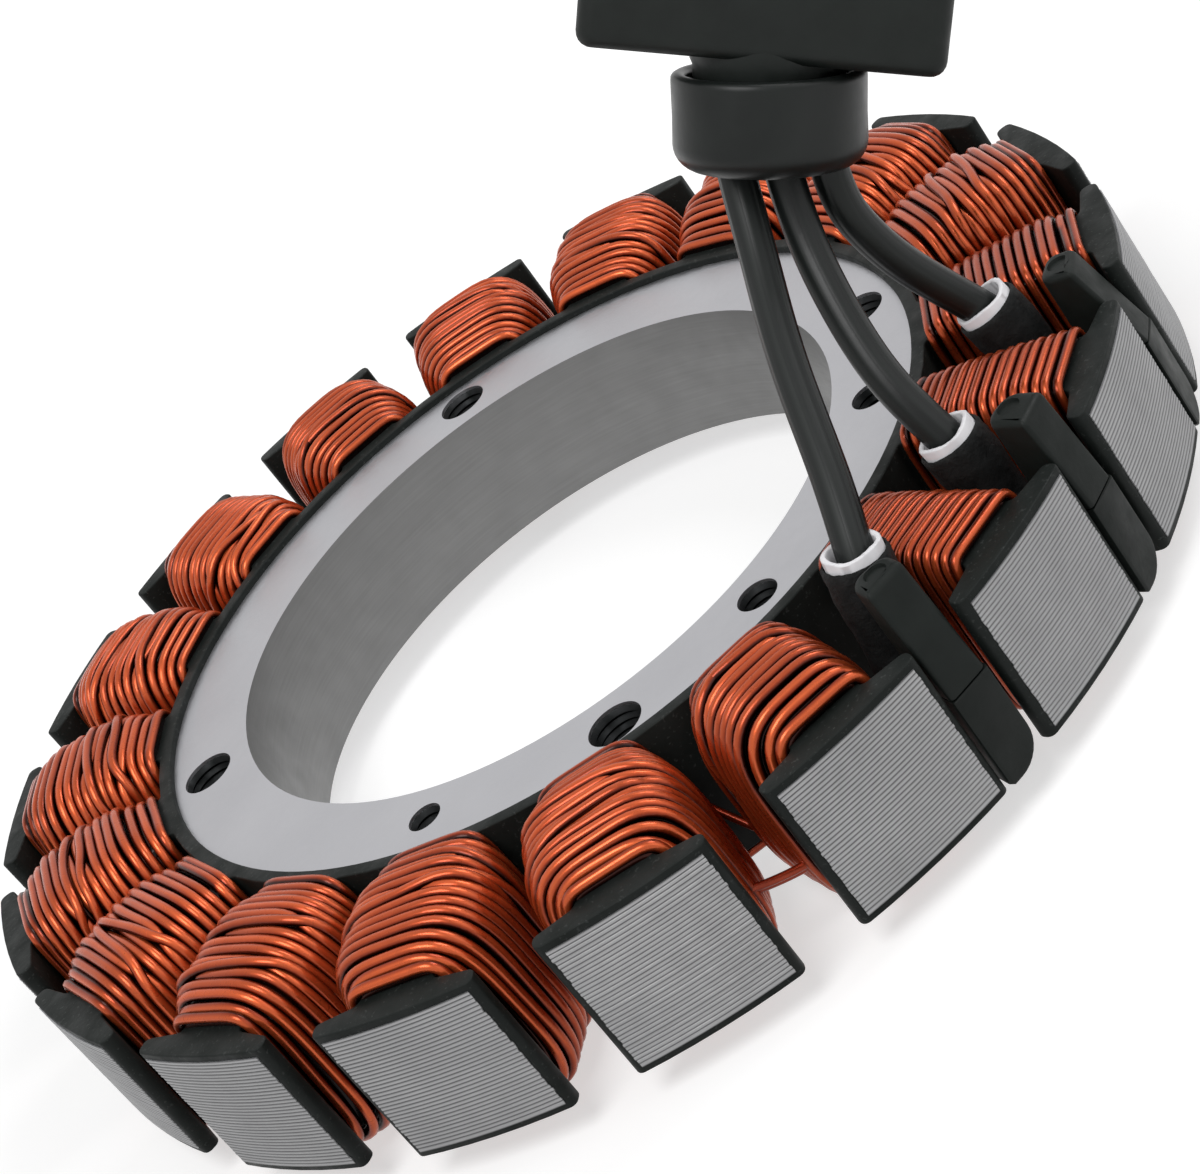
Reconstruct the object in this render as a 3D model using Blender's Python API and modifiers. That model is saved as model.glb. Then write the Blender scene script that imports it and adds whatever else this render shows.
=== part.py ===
"""Wound stator of a small permanent-magnet generator.

Metres, +Z up. The stator lies on its rear coil domes with the lead side up, and the origin is under
the middle of the bore. Teeth are numbered clockwise as seen from above.
"""
import math

import bmesh
import bpy
from mathutils import Matrix, Vector

# Steel core
TOOTH_COUNT = 18
FIRST_TOOTH_DEGREES = 240.0
BORE_RADIUS = 0.0332
RING_WIDTH = 0.0093
TOOTH_LENGTH = 0.0200
STACK_HEIGHT = 0.0139
TOOTH_WIDTH = 0.0060
SHOE_GAP = 0.007166
SHOE_DEPTH_MIDDLE = 0.0021
SHOE_DEPTH_END = 0.0015

# Holes in the ring, each with its wall of steel towards the bore
MOUNT_HOLE_DIAMETER = 0.0053
MOUNT_HOLE_WALL = 0.00215
MOUNT_HOLE_DEGREES = (45.0, 135.0, 225.0, 315.0)
LOCATING_HOLE_DIAMETER = 0.0040
LOCATING_HOLE_WALL = 0.0023
LOCATING_HOLE_DEGREES = (-70.0, -110.0)
KEY_HOLE_DIAMETER = 0.0033
KEY_HOLE_WALL = 0.00225
KEY_HOLE_DEGREES = 195.0

# Baked coat
COAT = 0.0007
COAT_BOND_GAP = 0.0002
COAT_RIM_WIDTH = 0.0007

# Coils, as thicknesses built up on the coated tooth
CLEARANCE = 0.0003
TURNS = 15
GROOVE_DEPTH = 0.0003
SIDE_BUILD_INNER = 0.0018
SIDE_BUILD_FULL = 0.0038
SIDE_BUILD_OUTER = 0.0024
SIDE_BUILD_BESIDE_POST = 0.0016
SIDE_BUILD_BESIDE_LEAD = 0.0009
DOME_BUILD_INNER = 0.0008
DOME_BUILD_FULL = 0.0030
DOME_BUILD_OUTER = 0.0020
DOME_BUILD_LEAD_COILS = 0.0014
SIDE_FULL_AT = 0.45
SIDE_FALLS_AT = 0.80
DOME_FULL_AT = 0.55
DOME_FALLS_AT = 0.86
SHOULDER_SIDE_SHARE = 0.2
SHOULDER_DOME_SHARE = 0.83

# Slot wedges
WEDGE_WIDTH = 0.0041
WEDGE_LOWER_EXTRA = 0.0002
WEDGE_SEAM_HEIGHT = 0.0090
WEDGE_SEAM_GAP = 0.0003
WEDGE_FOOT_DROP = 0.0008
WEDGE_FOOT_ROUND = 0.0030
WEDGE_EDGE_ROUND = 0.0004
WEDGE_DEPTH = 0.0066
POST_RISES = (0.0043, 0.0048, 0.0058)
POST_LEANS = (0.0028, 0.0015, 0.0026)

# Sleeves and splices, one beside each post
SLEEVE_FOOT_INSET = 0.0103
SLEEVE_FOOT_SHIFT = -0.0004
SLEEVE_FOOT_DEPTH = 0.0060
SLEEVE_MOUTHS = ((0.0124, -0.0006, 0.0042), (0.0118, -0.0005, 0.0038), (0.0102, 0.0021, 0.0061))
SLEEVE_TAPER_LENGTH = 0.0020
SLEEVE_WALL = 0.00025
SLEEVE_LOWER_WALL = 0.0003
SLEEVE_LOWER_GAP = 0.00055
INNER_SLEEVE_GAP = 0.00045
INNER_SLEEVE_WALL = 0.0005
INNER_SLEEVE_PROUD = 0.0009
INNER_SLEEVE_DEPTH = 0.0028
SLEEVE_FIT = 0.00015
CRIMP_LENGTH = 0.0040
CRIMP_WALL = 0.00015
CRIMP_WAIST_DEPTH = 0.0004

# Leads. Each has three points: from its sleeve's mouth, from halfway to the collar, and from the collar
LEAD_DIAMETER = 0.0033
LEAD_START_DEPTH = 0.0042
LEAD_ROUTES = (
    ((-0.0030, -0.0004, 0.0044), (-0.0019, -0.0017, 0.0005), (0.0003, -0.0024, -0.0026)),
    ((-0.0010, 0.0000, 0.0029), (-0.0056, -0.0030, -0.0026), (-0.0072, -0.0052, -0.0063)),
    ((0.0030, -0.0002, 0.0053), (-0.0042, -0.0040, 0.0004), (-0.0102, -0.0070, -0.0044)),
)

# Plug, in a frame whose Z runs from the leads to the contacts
PLUG_SHIFT = 0.0115
PLUG_INSET = 0.0209
PLUG_RISE = 0.0396
PLUG_AZIMUTH_DEGREES = -32.2
PLUG_TILT_DEGREES = 33.6
PLUG_ROLL_DEGREES = -27.0
COLLAR_RADIUS = 0.0082
COLLAR_HEIGHT = 0.0082
COLLAR_FLOOR = 0.0045
COLLAR_WALL = 0.0012
COLLAR_FOOT_ROUND = 0.0022
COLLAR_LIP_ROUND = 0.0004
LEAD_WEB = 0.0006
LEAD_ROW_SHIFT = 0.0006
LEAD_BORE_FIT = 0.0002
NECK_FIT = 0.00065
NECK_SHOWING = 0.0010
BODY_WIDTH = 0.0303
BODY_SHIFT = -0.0006
BODY_THICKNESS = 0.0132
BODY_HEIGHT = 0.0100
BODY_CORNER_ROUND = 0.0014
BODY_SKEW_DEGREES = 5.0
SOCKET_DEPTH = 0.0055
SOCKET_WALL = 0.0016
PIN_RADIUS = 0.0012
PIN_SEAT_DEPTH = 0.0030
PIN_LENGTH = 0.0070
PIN_SPACING = 0.0080
PIN_POINT = 0.0004

# Coil wire left between the coils, and the links laid on the rear of the coated rim
WIRE_DIAMETER = 0.0010
TAIL_SLOT_TOOTH = 1
TAIL_INSET = 0.0075
TAIL_HEIGHTS = (0.0032, 0.0018)
INNER_TAIL_DISTANCE = 0.0045
INNER_TAIL_HEIGHT = 0.0042
PHASE_COUNT = 3
LINK_SEAT_GAP = 0.00015
LINK_GAP = 0.00003
LINK_SPAN_TEETH = 15

# Facets
FACE_STEPS = 4
COAT_FACE_STEPS = 2
BORE_STEPS = 54
TURNED_STEPS = 14
COLLAR_STEPS = 24
MOUNT_HOLE_STEPS = 18
SMALL_HOLE_STEPS = 12
TUBE_RESOLUTION = 2
ROUTE_STEPS = 3

WELD_DISTANCE = 0.000002

# Places that follow from the sizes above
PITCH = 2.0 * math.pi / TOOTH_COUNT
YOKE_RADIUS = BORE_RADIUS + RING_WIDTH
OUTER_RADIUS = YOKE_RADIUS + TOOTH_LENGTH
SHOE_HALF_WIDTH = OUTER_RADIUS * math.sin(PITCH / 2) - SHOE_GAP / 2
COAT_RIM_RADIUS = YOKE_RADIUS - COAT_RIM_WIDTH
STACK_BASE = COAT + CLEARANCE + DOME_BUILD_FULL
STACK_TOP = STACK_BASE + STACK_HEIGHT
TUNNEL_HALF_WIDTH = TOOTH_WIDTH / 2 + COAT + CLEARANCE
TUNNEL_BOTTOM = STACK_BASE - COAT - CLEARANCE
TUNNEL_TOP = STACK_TOP + COAT + CLEARANCE
COIL_START = YOKE_RADIUS + COAT + CLEARANCE
COIL_END = OUTER_RADIUS - SHOE_DEPTH_MIDDLE - COAT - CLEARANCE
INNER_SLEEVE_RADIUS = LEAD_DIAMETER / 2 + INNER_SLEEVE_GAP + INNER_SLEEVE_WALL
SLEEVE_MOUTH_RADIUS = INNER_SLEEVE_RADIUS + SLEEVE_FIT + SLEEVE_WALL
SLEEVE_FOOT_RADIUS = LEAD_DIAMETER / 2 + SLEEVE_LOWER_GAP + SLEEVE_LOWER_WALL
CRIMP_RADIUS = LEAD_DIAMETER / 2 + CRIMP_WALL
CRIMP_WAIST = CRIMP_RADIUS - CRIMP_WAIST_DEPTH
NECK_RADIUS = COLLAR_RADIUS - COLLAR_WALL - NECK_FIT

PARTS = None
CUTTERS = None


def remove_everything():
    for item in list(bpy.data.objects):
        bpy.data.objects.remove(item, do_unlink=True)


def make_collections():
    global PARTS, CUTTERS
    PARTS = bpy.data.collections.new("wound_stator")
    CUTTERS = bpy.data.collections.new("wound_stator_cutters")
    for group in (PARTS, CUTTERS):
        bpy.context.scene.collection.children.link(group)


def make_material(name, colour, roughness, metallic):
    made = bpy.data.materials.new(name)
    made.use_nodes = True
    shader = made.node_tree.nodes["Principled BSDF"]
    shader.inputs["Base Color"].default_value = (*colour, 1.0)
    shader.inputs["Roughness"].default_value = roughness
    shader.inputs["Metallic"].default_value = metallic
    made.diffuse_color = (*colour, 1.0)
    return made


def add_object(name, data, material=None, matrix=None):
    made = bpy.data.objects.new(name, data)
    PARTS.objects.link(made)
    if material is not None and not data.materials:
        data.materials.append(material)
    if matrix is not None:
        made.matrix_world = matrix
    return made


def make_cutter(name, mesh, matrix=None):
    made = bpy.data.objects.new(name, mesh)
    CUTTERS.objects.link(made)
    made.hide_render = True
    made.display_type = "WIRE"
    if matrix is not None:
        made.matrix_world = matrix
    return made


def add_boolean(target, other, operation="DIFFERENCE"):
    boolean = target.modifiers.new(other.name, "BOOLEAN")
    boolean.operation = operation
    boolean.object = other


def add_bevel(target, width, segments=2):
    bevel = target.modifiers.new("rounded edges", "BEVEL")
    bevel.width = width
    bevel.segments = segments
    bevel.limit_method = "ANGLE"
    bevel.angle_limit = math.radians(50)


def smooth(mesh, degrees=35):
    mesh.shade_smooth()
    mesh.set_sharp_from_angle(angle=math.radians(degrees))


def mesh_from_curve(curve_object):
    """Turn a curve into a closed mesh object's data, and remove the curve."""
    bpy.context.view_layer.update()
    graph = bpy.context.evaluated_depsgraph_get()
    mesh = bpy.data.meshes.new_from_object(curve_object.evaluated_get(graph))
    work = bmesh.new()
    work.from_mesh(mesh)
    bmesh.ops.transform(work, matrix=curve_object.matrix_world, verts=work.verts)
    bmesh.ops.remove_doubles(work, verts=work.verts, dist=WELD_DISTANCE)
    bmesh.ops.recalc_face_normals(work, faces=work.faces)
    work.to_mesh(mesh)
    work.free()
    curve_data = curve_object.data
    bpy.data.objects.remove(curve_object, do_unlink=True)
    bpy.data.curves.remove(curve_data)
    return mesh


def extruded(name, outlines, bottom, top):
    """A flat outline, with any holes as further outlines, drawn up from bottom to top."""
    curve = bpy.data.curves.new(name, "CURVE")
    curve.dimensions = "2D"
    curve.fill_mode = "BOTH"
    curve.extrude = (top - bottom) / 2
    for outline in outlines:
        spline = curve.splines.new("POLY")
        spline.points.add(len(outline) - 1)
        spline.use_cyclic_u = True
        for point, (x, y) in zip(spline.points, outline):
            point.co = (x, y, 0.0, 1.0)
    carrier = bpy.data.objects.new(name, curve)
    PARTS.objects.link(carrier)
    carrier.location = (0.0, 0.0, (top + bottom) / 2)
    return mesh_from_curve(carrier)


def turned(name, profile, closed=False, steps=TURNED_STEPS):
    """A profile of (radius, height) points, listed down the outer side, turned about Z."""
    mesh = bpy.data.meshes.new(name)
    last = len(profile) if closed else len(profile) - 1
    edges = [(index, (index + 1) % len(profile)) for index in range(last)]
    mesh.from_pydata([(radius, 0.0, height) for radius, height in profile], edges, [])
    made = add_object(name, mesh)
    screw = made.modifiers.new("turned", "SCREW")
    screw.axis = "Z"
    screw.angle = 2.0 * math.pi
    screw.steps = steps
    screw.render_steps = steps
    screw.use_merge_vertices = True
    screw.merge_threshold = WELD_DISTANCE
    screw.use_smooth_shade = True
    return made


def cylinder_mesh(name, radius, bottom, top, steps=TURNED_STEPS):
    mesh = bpy.data.meshes.new(name)
    work = bmesh.new()
    bmesh.ops.create_cone(
        work, cap_ends=True, segments=steps, radius1=radius, radius2=radius, depth=top - bottom,
        matrix=Matrix.Translation((0.0, 0.0, (top + bottom) / 2)),
    )
    work.to_mesh(mesh)
    work.free()
    return mesh


def box_mesh(name, width, depth, bottom, top):
    mesh = bpy.data.meshes.new(name)
    work = bmesh.new()
    bmesh.ops.create_cube(work, size=1.0)
    bmesh.ops.scale(work, vec=(width, depth, top - bottom), verts=work.verts)
    bmesh.ops.translate(work, vec=(0.0, 0.0, (top + bottom) / 2), verts=work.verts)
    work.to_mesh(mesh)
    work.free()
    return mesh


def tube(name, points, diameter, material):
    curve = bpy.data.curves.new(name, "CURVE")
    curve.dimensions = "3D"
    curve.bevel_depth = diameter / 2
    curve.bevel_resolution = TUBE_RESOLUTION
    curve.use_fill_caps = True
    spline = curve.splines.new("POLY")
    spline.points.add(len(points) - 1)
    for point, place in zip(spline.points, points):
        point.co = (*place, 1.0)
    return add_object(name, curve, material)


def circle(radius, steps, centre=(0.0, 0.0)):
    turns = [2.0 * math.pi * index / steps for index in range(steps)]
    return [(centre[0] + radius * math.cos(a), centre[1] + radius * math.sin(a)) for a in turns]


def arc(centre, radius, start_degrees, end_degrees, steps):
    points = []
    for index in range(steps + 1):
        turn = math.radians(start_degrees + (end_degrees - start_degrees) * index / steps)
        points.append((centre[0] + radius * math.cos(turn), centre[1] + radius * math.sin(turn)))
    return points


def polar(radius, angle):
    return (radius * math.cos(angle), radius * math.sin(angle))


def tooth_angle(number):
    return math.radians(FIRST_TOOTH_DEGREES) - PITCH * (number - 1)


def tooth_matrix(number):
    """Frame of a tooth: X out along the tooth, Y counterclockwise, Z up."""
    return Matrix.Rotation(tooth_angle(number), 4, "Z")


def ease(share):
    share = min(max(share, 0.0), 1.0)
    return share * share * (3.0 - 2.0 * share)


def core_outline(offset, rim_radius, face_steps):
    """Outline of the toothed ring, grown by an offset, with its tooth faces on rim_radius."""
    half_tooth = TOOTH_WIDTH / 2 + offset
    half_shoe = SHOE_HALF_WIDTH + offset
    yoke = YOKE_RADIUS + offset
    shoe_root = OUTER_RADIUS - SHOE_DEPTH_MIDDLE - offset
    shoe_end = OUTER_RADIUS - SHOE_DEPTH_END - offset
    root_turn = math.asin(half_tooth / yoke)
    face_turn = math.asin(half_shoe / rim_radius)
    side = [polar(yoke, root_turn), (shoe_root, half_tooth), (shoe_end, half_shoe)]
    outline = []
    for number in range(TOOTH_COUNT, 0, -1):
        middle = tooth_angle(number)
        local = [(x, -y) for x, y in side]
        for step in range(face_steps + 1):
            local.append(polar(rim_radius, face_turn * (2.0 * step / face_steps - 1.0)))
        local += list(reversed(side))
        local.append(polar(yoke, PITCH / 2))
        for x, y in local:
            turn = math.atan2(y, x) + middle
            outline.append(polar(math.hypot(x, y), turn))
    return outline


def ring_hole(radius, wall, degrees, steps):
    """Outline of a hole through the ring, with its wall between it and the bore."""
    centre = polar(BORE_RADIUS + wall + radius, math.radians(degrees))
    return circle(radius, steps, centre)


def make_stack(steel):
    bore = circle(BORE_RADIUS, BORE_STEPS)
    outlines = [core_outline(0.0, OUTER_RADIUS, FACE_STEPS), bore]
    for degrees in MOUNT_HOLE_DEGREES:
        outlines.append(ring_hole(MOUNT_HOLE_DIAMETER / 2, MOUNT_HOLE_WALL, degrees, MOUNT_HOLE_STEPS))
    for degrees in LOCATING_HOLE_DEGREES:
        outlines.append(
            ring_hole(LOCATING_HOLE_DIAMETER / 2, LOCATING_HOLE_WALL, degrees, SMALL_HOLE_STEPS))
    outlines.append(ring_hole(KEY_HOLE_DIAMETER / 2, KEY_HOLE_WALL, KEY_HOLE_DEGREES, SMALL_HOLE_STEPS))
    mesh = extruded("lamination_stack", outlines, STACK_BASE, STACK_TOP)
    smooth(mesh)
    add_object("lamination_stack", mesh, steel)


def make_coat(black):
    """The skin left between two growths of the core outline, open at the rim and inside the ring."""
    past_rim = OUTER_RADIUS + 2 * COAT
    rim = circle(COAT_RIM_RADIUS, BORE_STEPS)
    outlines = [core_outline(COAT, OUTER_RADIUS, COAT_FACE_STEPS), rim]
    skin = extruded("epoxy_coat", outlines, STACK_BASE - COAT, STACK_TOP + COAT)
    smooth(skin)
    coat = add_object("epoxy_coat", skin, black)
    bottom = STACK_BASE - COAT_BOND_GAP
    top = STACK_TOP + COAT_BOND_GAP
    space_outlines = [core_outline(COAT_BOND_GAP, past_rim, 1), circle(BORE_RADIUS, BORE_STEPS)]
    steel_space = extruded("coat_steel_space", space_outlines, bottom, top)
    add_boolean(coat, make_cutter("coat_steel_space", steel_space))


def coil_loop(distance, ccw_build, cw_build, dome_build, groove):
    """Ten points round one turn of a coil, in the tooth's frame."""
    ccw = TUNNEL_HALF_WIDTH + ccw_build - groove
    cw = TUNNEL_HALF_WIDTH + cw_build - groove
    ccw_shoulder = TUNNEL_HALF_WIDTH + SHOULDER_SIDE_SHARE * ccw_build
    cw_shoulder = TUNNEL_HALF_WIDTH + SHOULDER_SIDE_SHARE * cw_build
    upper = [
        (ccw, -SHOULDER_SIDE_SHARE * dome_build),
        (ccw_shoulder, SHOULDER_DOME_SHARE * dome_build - groove),
        (0.0, dome_build - groove),
        (-cw_shoulder, SHOULDER_DOME_SHARE * dome_build - groove),
        (-cw, -SHOULDER_SIDE_SHARE * dome_build),
    ]
    loop = [(distance, y, TUNNEL_TOP + rise) for y, rise in upper]
    loop += [(distance, y, TUNNEL_BOTTOM - rise) for y, rise in reversed(upper)]
    return loop


def tunnel_loop(distance):
    """The coil's opening, with one point for each point of coil_loop."""
    sides = [TUNNEL_HALF_WIDTH * share for share in (1.0, 0.5, 0.0, -0.5, -1.0)]
    loop = [(distance, y, TUNNEL_TOP) for y in sides]
    loop += [(distance, y, TUNNEL_BOTTOM) for y in reversed(sides)]
    return loop


def side_build(full, share):
    """Thickness on a coil's side, at a share of the way from the ring to the shoe."""
    inner = min(SIDE_BUILD_INNER, full)
    built = inner + (full - inner) * ease(share / SIDE_FULL_AT)
    fall = max(full - SIDE_BUILD_OUTER, 0.0)
    return built - fall * ease((share - SIDE_FALLS_AT) / (1.0 - SIDE_FALLS_AT))


def coil_mesh(name, ccw_full, cw_full, dome_full):
    """A closed band of loops: out over the turns and back through the opening."""
    loops = []
    steps = 2 * TURNS
    for step in range(steps + 1):
        share = step / steps
        ccw = side_build(ccw_full, share)
        cw = side_build(cw_full, share)
        dome = DOME_BUILD_INNER + (dome_full - DOME_BUILD_INNER) * ease(share / DOME_FULL_AT)
        fall = max(dome_full - DOME_BUILD_OUTER, 0.0)
        dome -= fall * ease((share - DOME_FALLS_AT) / (1.0 - DOME_FALLS_AT))
        groove = GROOVE_DEPTH if step % 2 == 0 else 0.0
        distance = COIL_START + (COIL_END - COIL_START) * share
        loops.append(coil_loop(distance, ccw, cw, dome, groove))
    loops.append(tunnel_loop(COIL_END))
    loops.append(tunnel_loop(COIL_START))
    work = bmesh.new()
    rows = [[work.verts.new(point) for point in loop] for loop in loops]
    count = len(rows[0])
    for index, row in enumerate(rows):
        following = rows[(index + 1) % len(rows)]
        for corner in range(count):
            after = (corner + 1) % count
            work.faces.new((row[corner], row[after], following[after], following[corner]))
    bmesh.ops.recalc_face_normals(work, faces=work.faces)
    mesh = bpy.data.meshes.new(name)
    work.to_mesh(mesh)
    work.free()
    smooth(mesh)
    return mesh


def make_coils(copper):
    """One coil a tooth. The three teeth before the first hold shallower coils beside the leads."""
    first_lead_tooth = TOOTH_COUNT - 2
    plain = coil_mesh("coil_turns", SIDE_BUILD_FULL, SIDE_BUILD_FULL, DOME_BUILD_FULL)
    after_leads = coil_mesh(
        "coil_turns_after_leads", SIDE_BUILD_BESIDE_POST, SIDE_BUILD_FULL, DOME_BUILD_FULL)
    before_leads = coil_mesh(
        "coil_turns_before_leads", SIDE_BUILD_FULL, SIDE_BUILD_BESIDE_LEAD, DOME_BUILD_LEAD_COILS)
    among_leads = coil_mesh(
        "coil_turns_among_leads", SIDE_BUILD_BESIDE_POST, SIDE_BUILD_BESIDE_LEAD, DOME_BUILD_LEAD_COILS)
    for number in range(1, TOOTH_COUNT + 1):
        mesh = plain
        if number == 1:
            mesh = after_leads
        if number == first_lead_tooth:
            mesh = before_leads
        if number > first_lead_tooth:
            mesh = among_leads
        add_object(f"coil_{number:02d}", mesh, copper, tooth_matrix(number))


def lead_teeth():
    """The teeth whose counterclockwise side carries a wedge: the seventeenth, eighteenth and first."""
    return (TOOTH_COUNT - 1, TOOTH_COUNT, 1)


def wedge_outline(width):
    """Plan of a slot wedge in the frame of the tooth whose shoe it lies against."""
    near = SHOE_HALF_WIDTH + COAT + CLEARANCE
    far = near + width
    inner = OUTER_RADIUS - WEDGE_DEPTH
    rim = [(math.sqrt(OUTER_RADIUS ** 2 - y ** 2), y) for y in (near, (near + far) / 2, far)]
    return [(inner, near), *rim, (inner, far)]


def round_foot(mesh, bottom, side, radius):
    """Round the lowest edge on the wedge's free side."""
    work = bmesh.new()
    work.from_mesh(mesh)
    edges = []
    for edge in work.edges:
        ends = [vert.co for vert in edge.verts]
        if all(abs(end.z - bottom) < WELD_DISTANCE and abs(end.y - side) < WELD_DISTANCE for end in ends):
            edges.append(edge)
    bmesh.ops.bevel(work, geom=edges, offset=radius, segments=3, profile=0.5, affect="EDGES")
    work.to_mesh(mesh)
    work.free()


def lean_back(mesh, lean, top):
    """Set the rim side of a post's top back towards the ring."""
    middle = OUTER_RADIUS - WEDGE_DEPTH / 2
    for vert in mesh.vertices:
        if vert.co.z > top - WELD_DISTANCE and vert.co.x > middle:
            vert.co.x -= lean


def make_wedges(moulding):
    seam = STACK_BASE + WEDGE_SEAM_HEIGHT
    foot = STACK_BASE - WEDGE_FOOT_DROP
    wide = WEDGE_WIDTH + WEDGE_LOWER_EXTRA
    free_side = SHOE_HALF_WIDTH + COAT + CLEARANCE + wide
    for index, tooth in enumerate(lead_teeth()):
        place = tooth_matrix(tooth)
        top = STACK_TOP + POST_RISES[index]
        post = extruded("terminal_post", [wedge_outline(WEDGE_WIDTH)], seam + WEDGE_SEAM_GAP, top)
        lean_back(post, POST_LEANS[index], top)
        smooth(post)
        add_bevel(add_object(f"terminal_post_{index + 1}", post, moulding, place), WEDGE_EDGE_ROUND)
        block = extruded("slot_block", [wedge_outline(wide)], foot, seam)
        round_foot(block, foot, free_side, WEDGE_FOOT_ROUND)
        smooth(block)
        add_bevel(add_object(f"slot_block_{index + 1}", block, moulding, place), WEDGE_EDGE_ROUND)


def sleeve_axis(index):
    """Mouth centre and upward axis of a sleeve, in the frame of its wedge's tooth."""
    inset, shift, rise = SLEEVE_MOUTHS[index]
    foot_x = OUTER_RADIUS - SLEEVE_FOOT_INSET
    near_coil = TUNNEL_HALF_WIDTH + SIDE_BUILD_BESIDE_POST
    next_coil = foot_x * math.tan(PITCH) - (TUNNEL_HALF_WIDTH + SIDE_BUILD_BESIDE_LEAD) / math.cos(PITCH)
    foot_y = (near_coil + next_coil) / 2 + SLEEVE_FOOT_SHIFT
    foot = Vector((foot_x, foot_y, STACK_TOP - SLEEVE_FOOT_DEPTH))
    mouth = Vector((OUTER_RADIUS - inset, foot_y + shift, STACK_TOP + rise))
    return mouth, (mouth - foot).normalized(), (mouth - foot).length


def sleeve_matrix(index):
    """Frame with its origin at the sleeve's mouth and Z out along its axis."""
    mouth, axis, _ = sleeve_axis(index)
    turn = axis.to_track_quat("Z", "X").to_matrix().to_4x4()
    return tooth_matrix(lead_teeth()[index]) @ Matrix.Translation(mouth) @ turn


def make_sleeves(sleeve_black, sleeve_white, tin):
    for index in range(len(lead_teeth())):
        place = sleeve_matrix(index)
        _, _, length = sleeve_axis(index)
        rim = -INNER_SLEEVE_PROUD
        bore = INNER_SLEEVE_RADIUS + SLEEVE_FIT
        lower_bore = SLEEVE_FOOT_RADIUS - SLEEVE_LOWER_WALL
        step = -INNER_SLEEVE_DEPTH - SLEEVE_FIT
        taper = step - SLEEVE_TAPER_LENGTH
        outer = turned(
            f"splice_sleeve_{index + 1}",
            [(SLEEVE_MOUTH_RADIUS, rim), (SLEEVE_MOUTH_RADIUS, step), (SLEEVE_FOOT_RADIUS, taper),
             (SLEEVE_FOOT_RADIUS, -length), (lower_bore, -length), (lower_bore, taper),
             (bore, step), (bore, rim)],
            closed=True)
        inner_bore = INNER_SLEEVE_RADIUS - INNER_SLEEVE_WALL
        inner = turned(
            f"inner_sleeve_{index + 1}",
            [(INNER_SLEEVE_RADIUS, 0.0), (INNER_SLEEVE_RADIUS, -INNER_SLEEVE_DEPTH),
             (inner_bore, -INNER_SLEEVE_DEPTH), (inner_bore, 0.0)],
            closed=True)
        crimp_top = -LEAD_START_DEPTH - CLEARANCE - SLEEVE_TAPER_LENGTH
        crimp_foot = crimp_top - CRIMP_LENGTH
        crimp_middle = (crimp_top + crimp_foot) / 2
        crimp = turned(
            f"crimp_splice_{index + 1}",
            [(0.0, crimp_top), (CRIMP_RADIUS, crimp_top), (CRIMP_WAIST, crimp_middle),
             (CRIMP_RADIUS, crimp_foot), (0.0, crimp_foot)])
        for made, material in ((outer, sleeve_black), (inner, sleeve_white), (crimp, tin)):
            made.data.materials.append(material)
            made.matrix_world = place


def plug_matrix():
    turn = Matrix.Rotation(math.radians(PLUG_AZIMUTH_DEGREES), 4, "Z")
    turn = turn @ Matrix.Rotation(math.radians(PLUG_TILT_DEGREES), 4, "Y")
    turn = turn @ Matrix.Rotation(math.radians(PLUG_ROLL_DEGREES), 4, "Z")
    base = (PLUG_SHIFT, PLUG_INSET - OUTER_RADIUS, STACK_BASE + PLUG_RISE)
    return Matrix.Translation(base) @ turn


def lead_bore_x(index):
    """Place of a lead across the plug: the first lead is on the plug's +X side."""
    return LEAD_ROW_SHIFT + (LEAD_DIAMETER + LEAD_WEB) * (1 - index)


def smooth_route(points, steps):
    """A curve through every point (Catmull-Rom), with a few steps between each two."""
    ends = [2 * points[0] - points[1], *points, 2 * points[-1] - points[-2]]
    route = []
    for index in range(1, len(ends) - 2):
        a, b, c, d = ends[index - 1:index + 3]
        for step in range(steps):
            t = step / steps
            straight = 2 * b + (c - a) * t
            bend = (2 * a - 5 * b + 4 * c - d) * t ** 2 + (3 * b - a - 3 * c + d) * t ** 3
            route.append((straight + bend) / 2)
    route.append(points[-1])
    return route


def make_leads(rubber):
    """Each lead rises from its splice, out of the sleeve, to its bore in the collar's floor."""
    plug = plug_matrix()
    for index, route in enumerate(LEAD_ROUTES):
        sleeve = sleeve_matrix(index)
        start = [sleeve @ Vector((0.0, 0.0, z)) for z in (-LEAD_START_DEPTH, 0.0)]
        x = lead_bore_x(index)
        end = [plug @ Vector((x, 0.0, z)) for z in (-LEAD_DIAMETER, 0.0, COLLAR_FLOOR)]
        anchors = (start[1], (start[1] + end[0]) / 2, end[0])
        middle = [anchor + Vector(offset) for anchor, offset in zip(anchors, route)]
        bent = smooth_route([start[1], *middle, end[0]], ROUTE_STEPS)
        tube(f"lead_{index + 1}", [start[0], *bent, *end[1:]], LEAD_DIAMETER, rubber)


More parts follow.
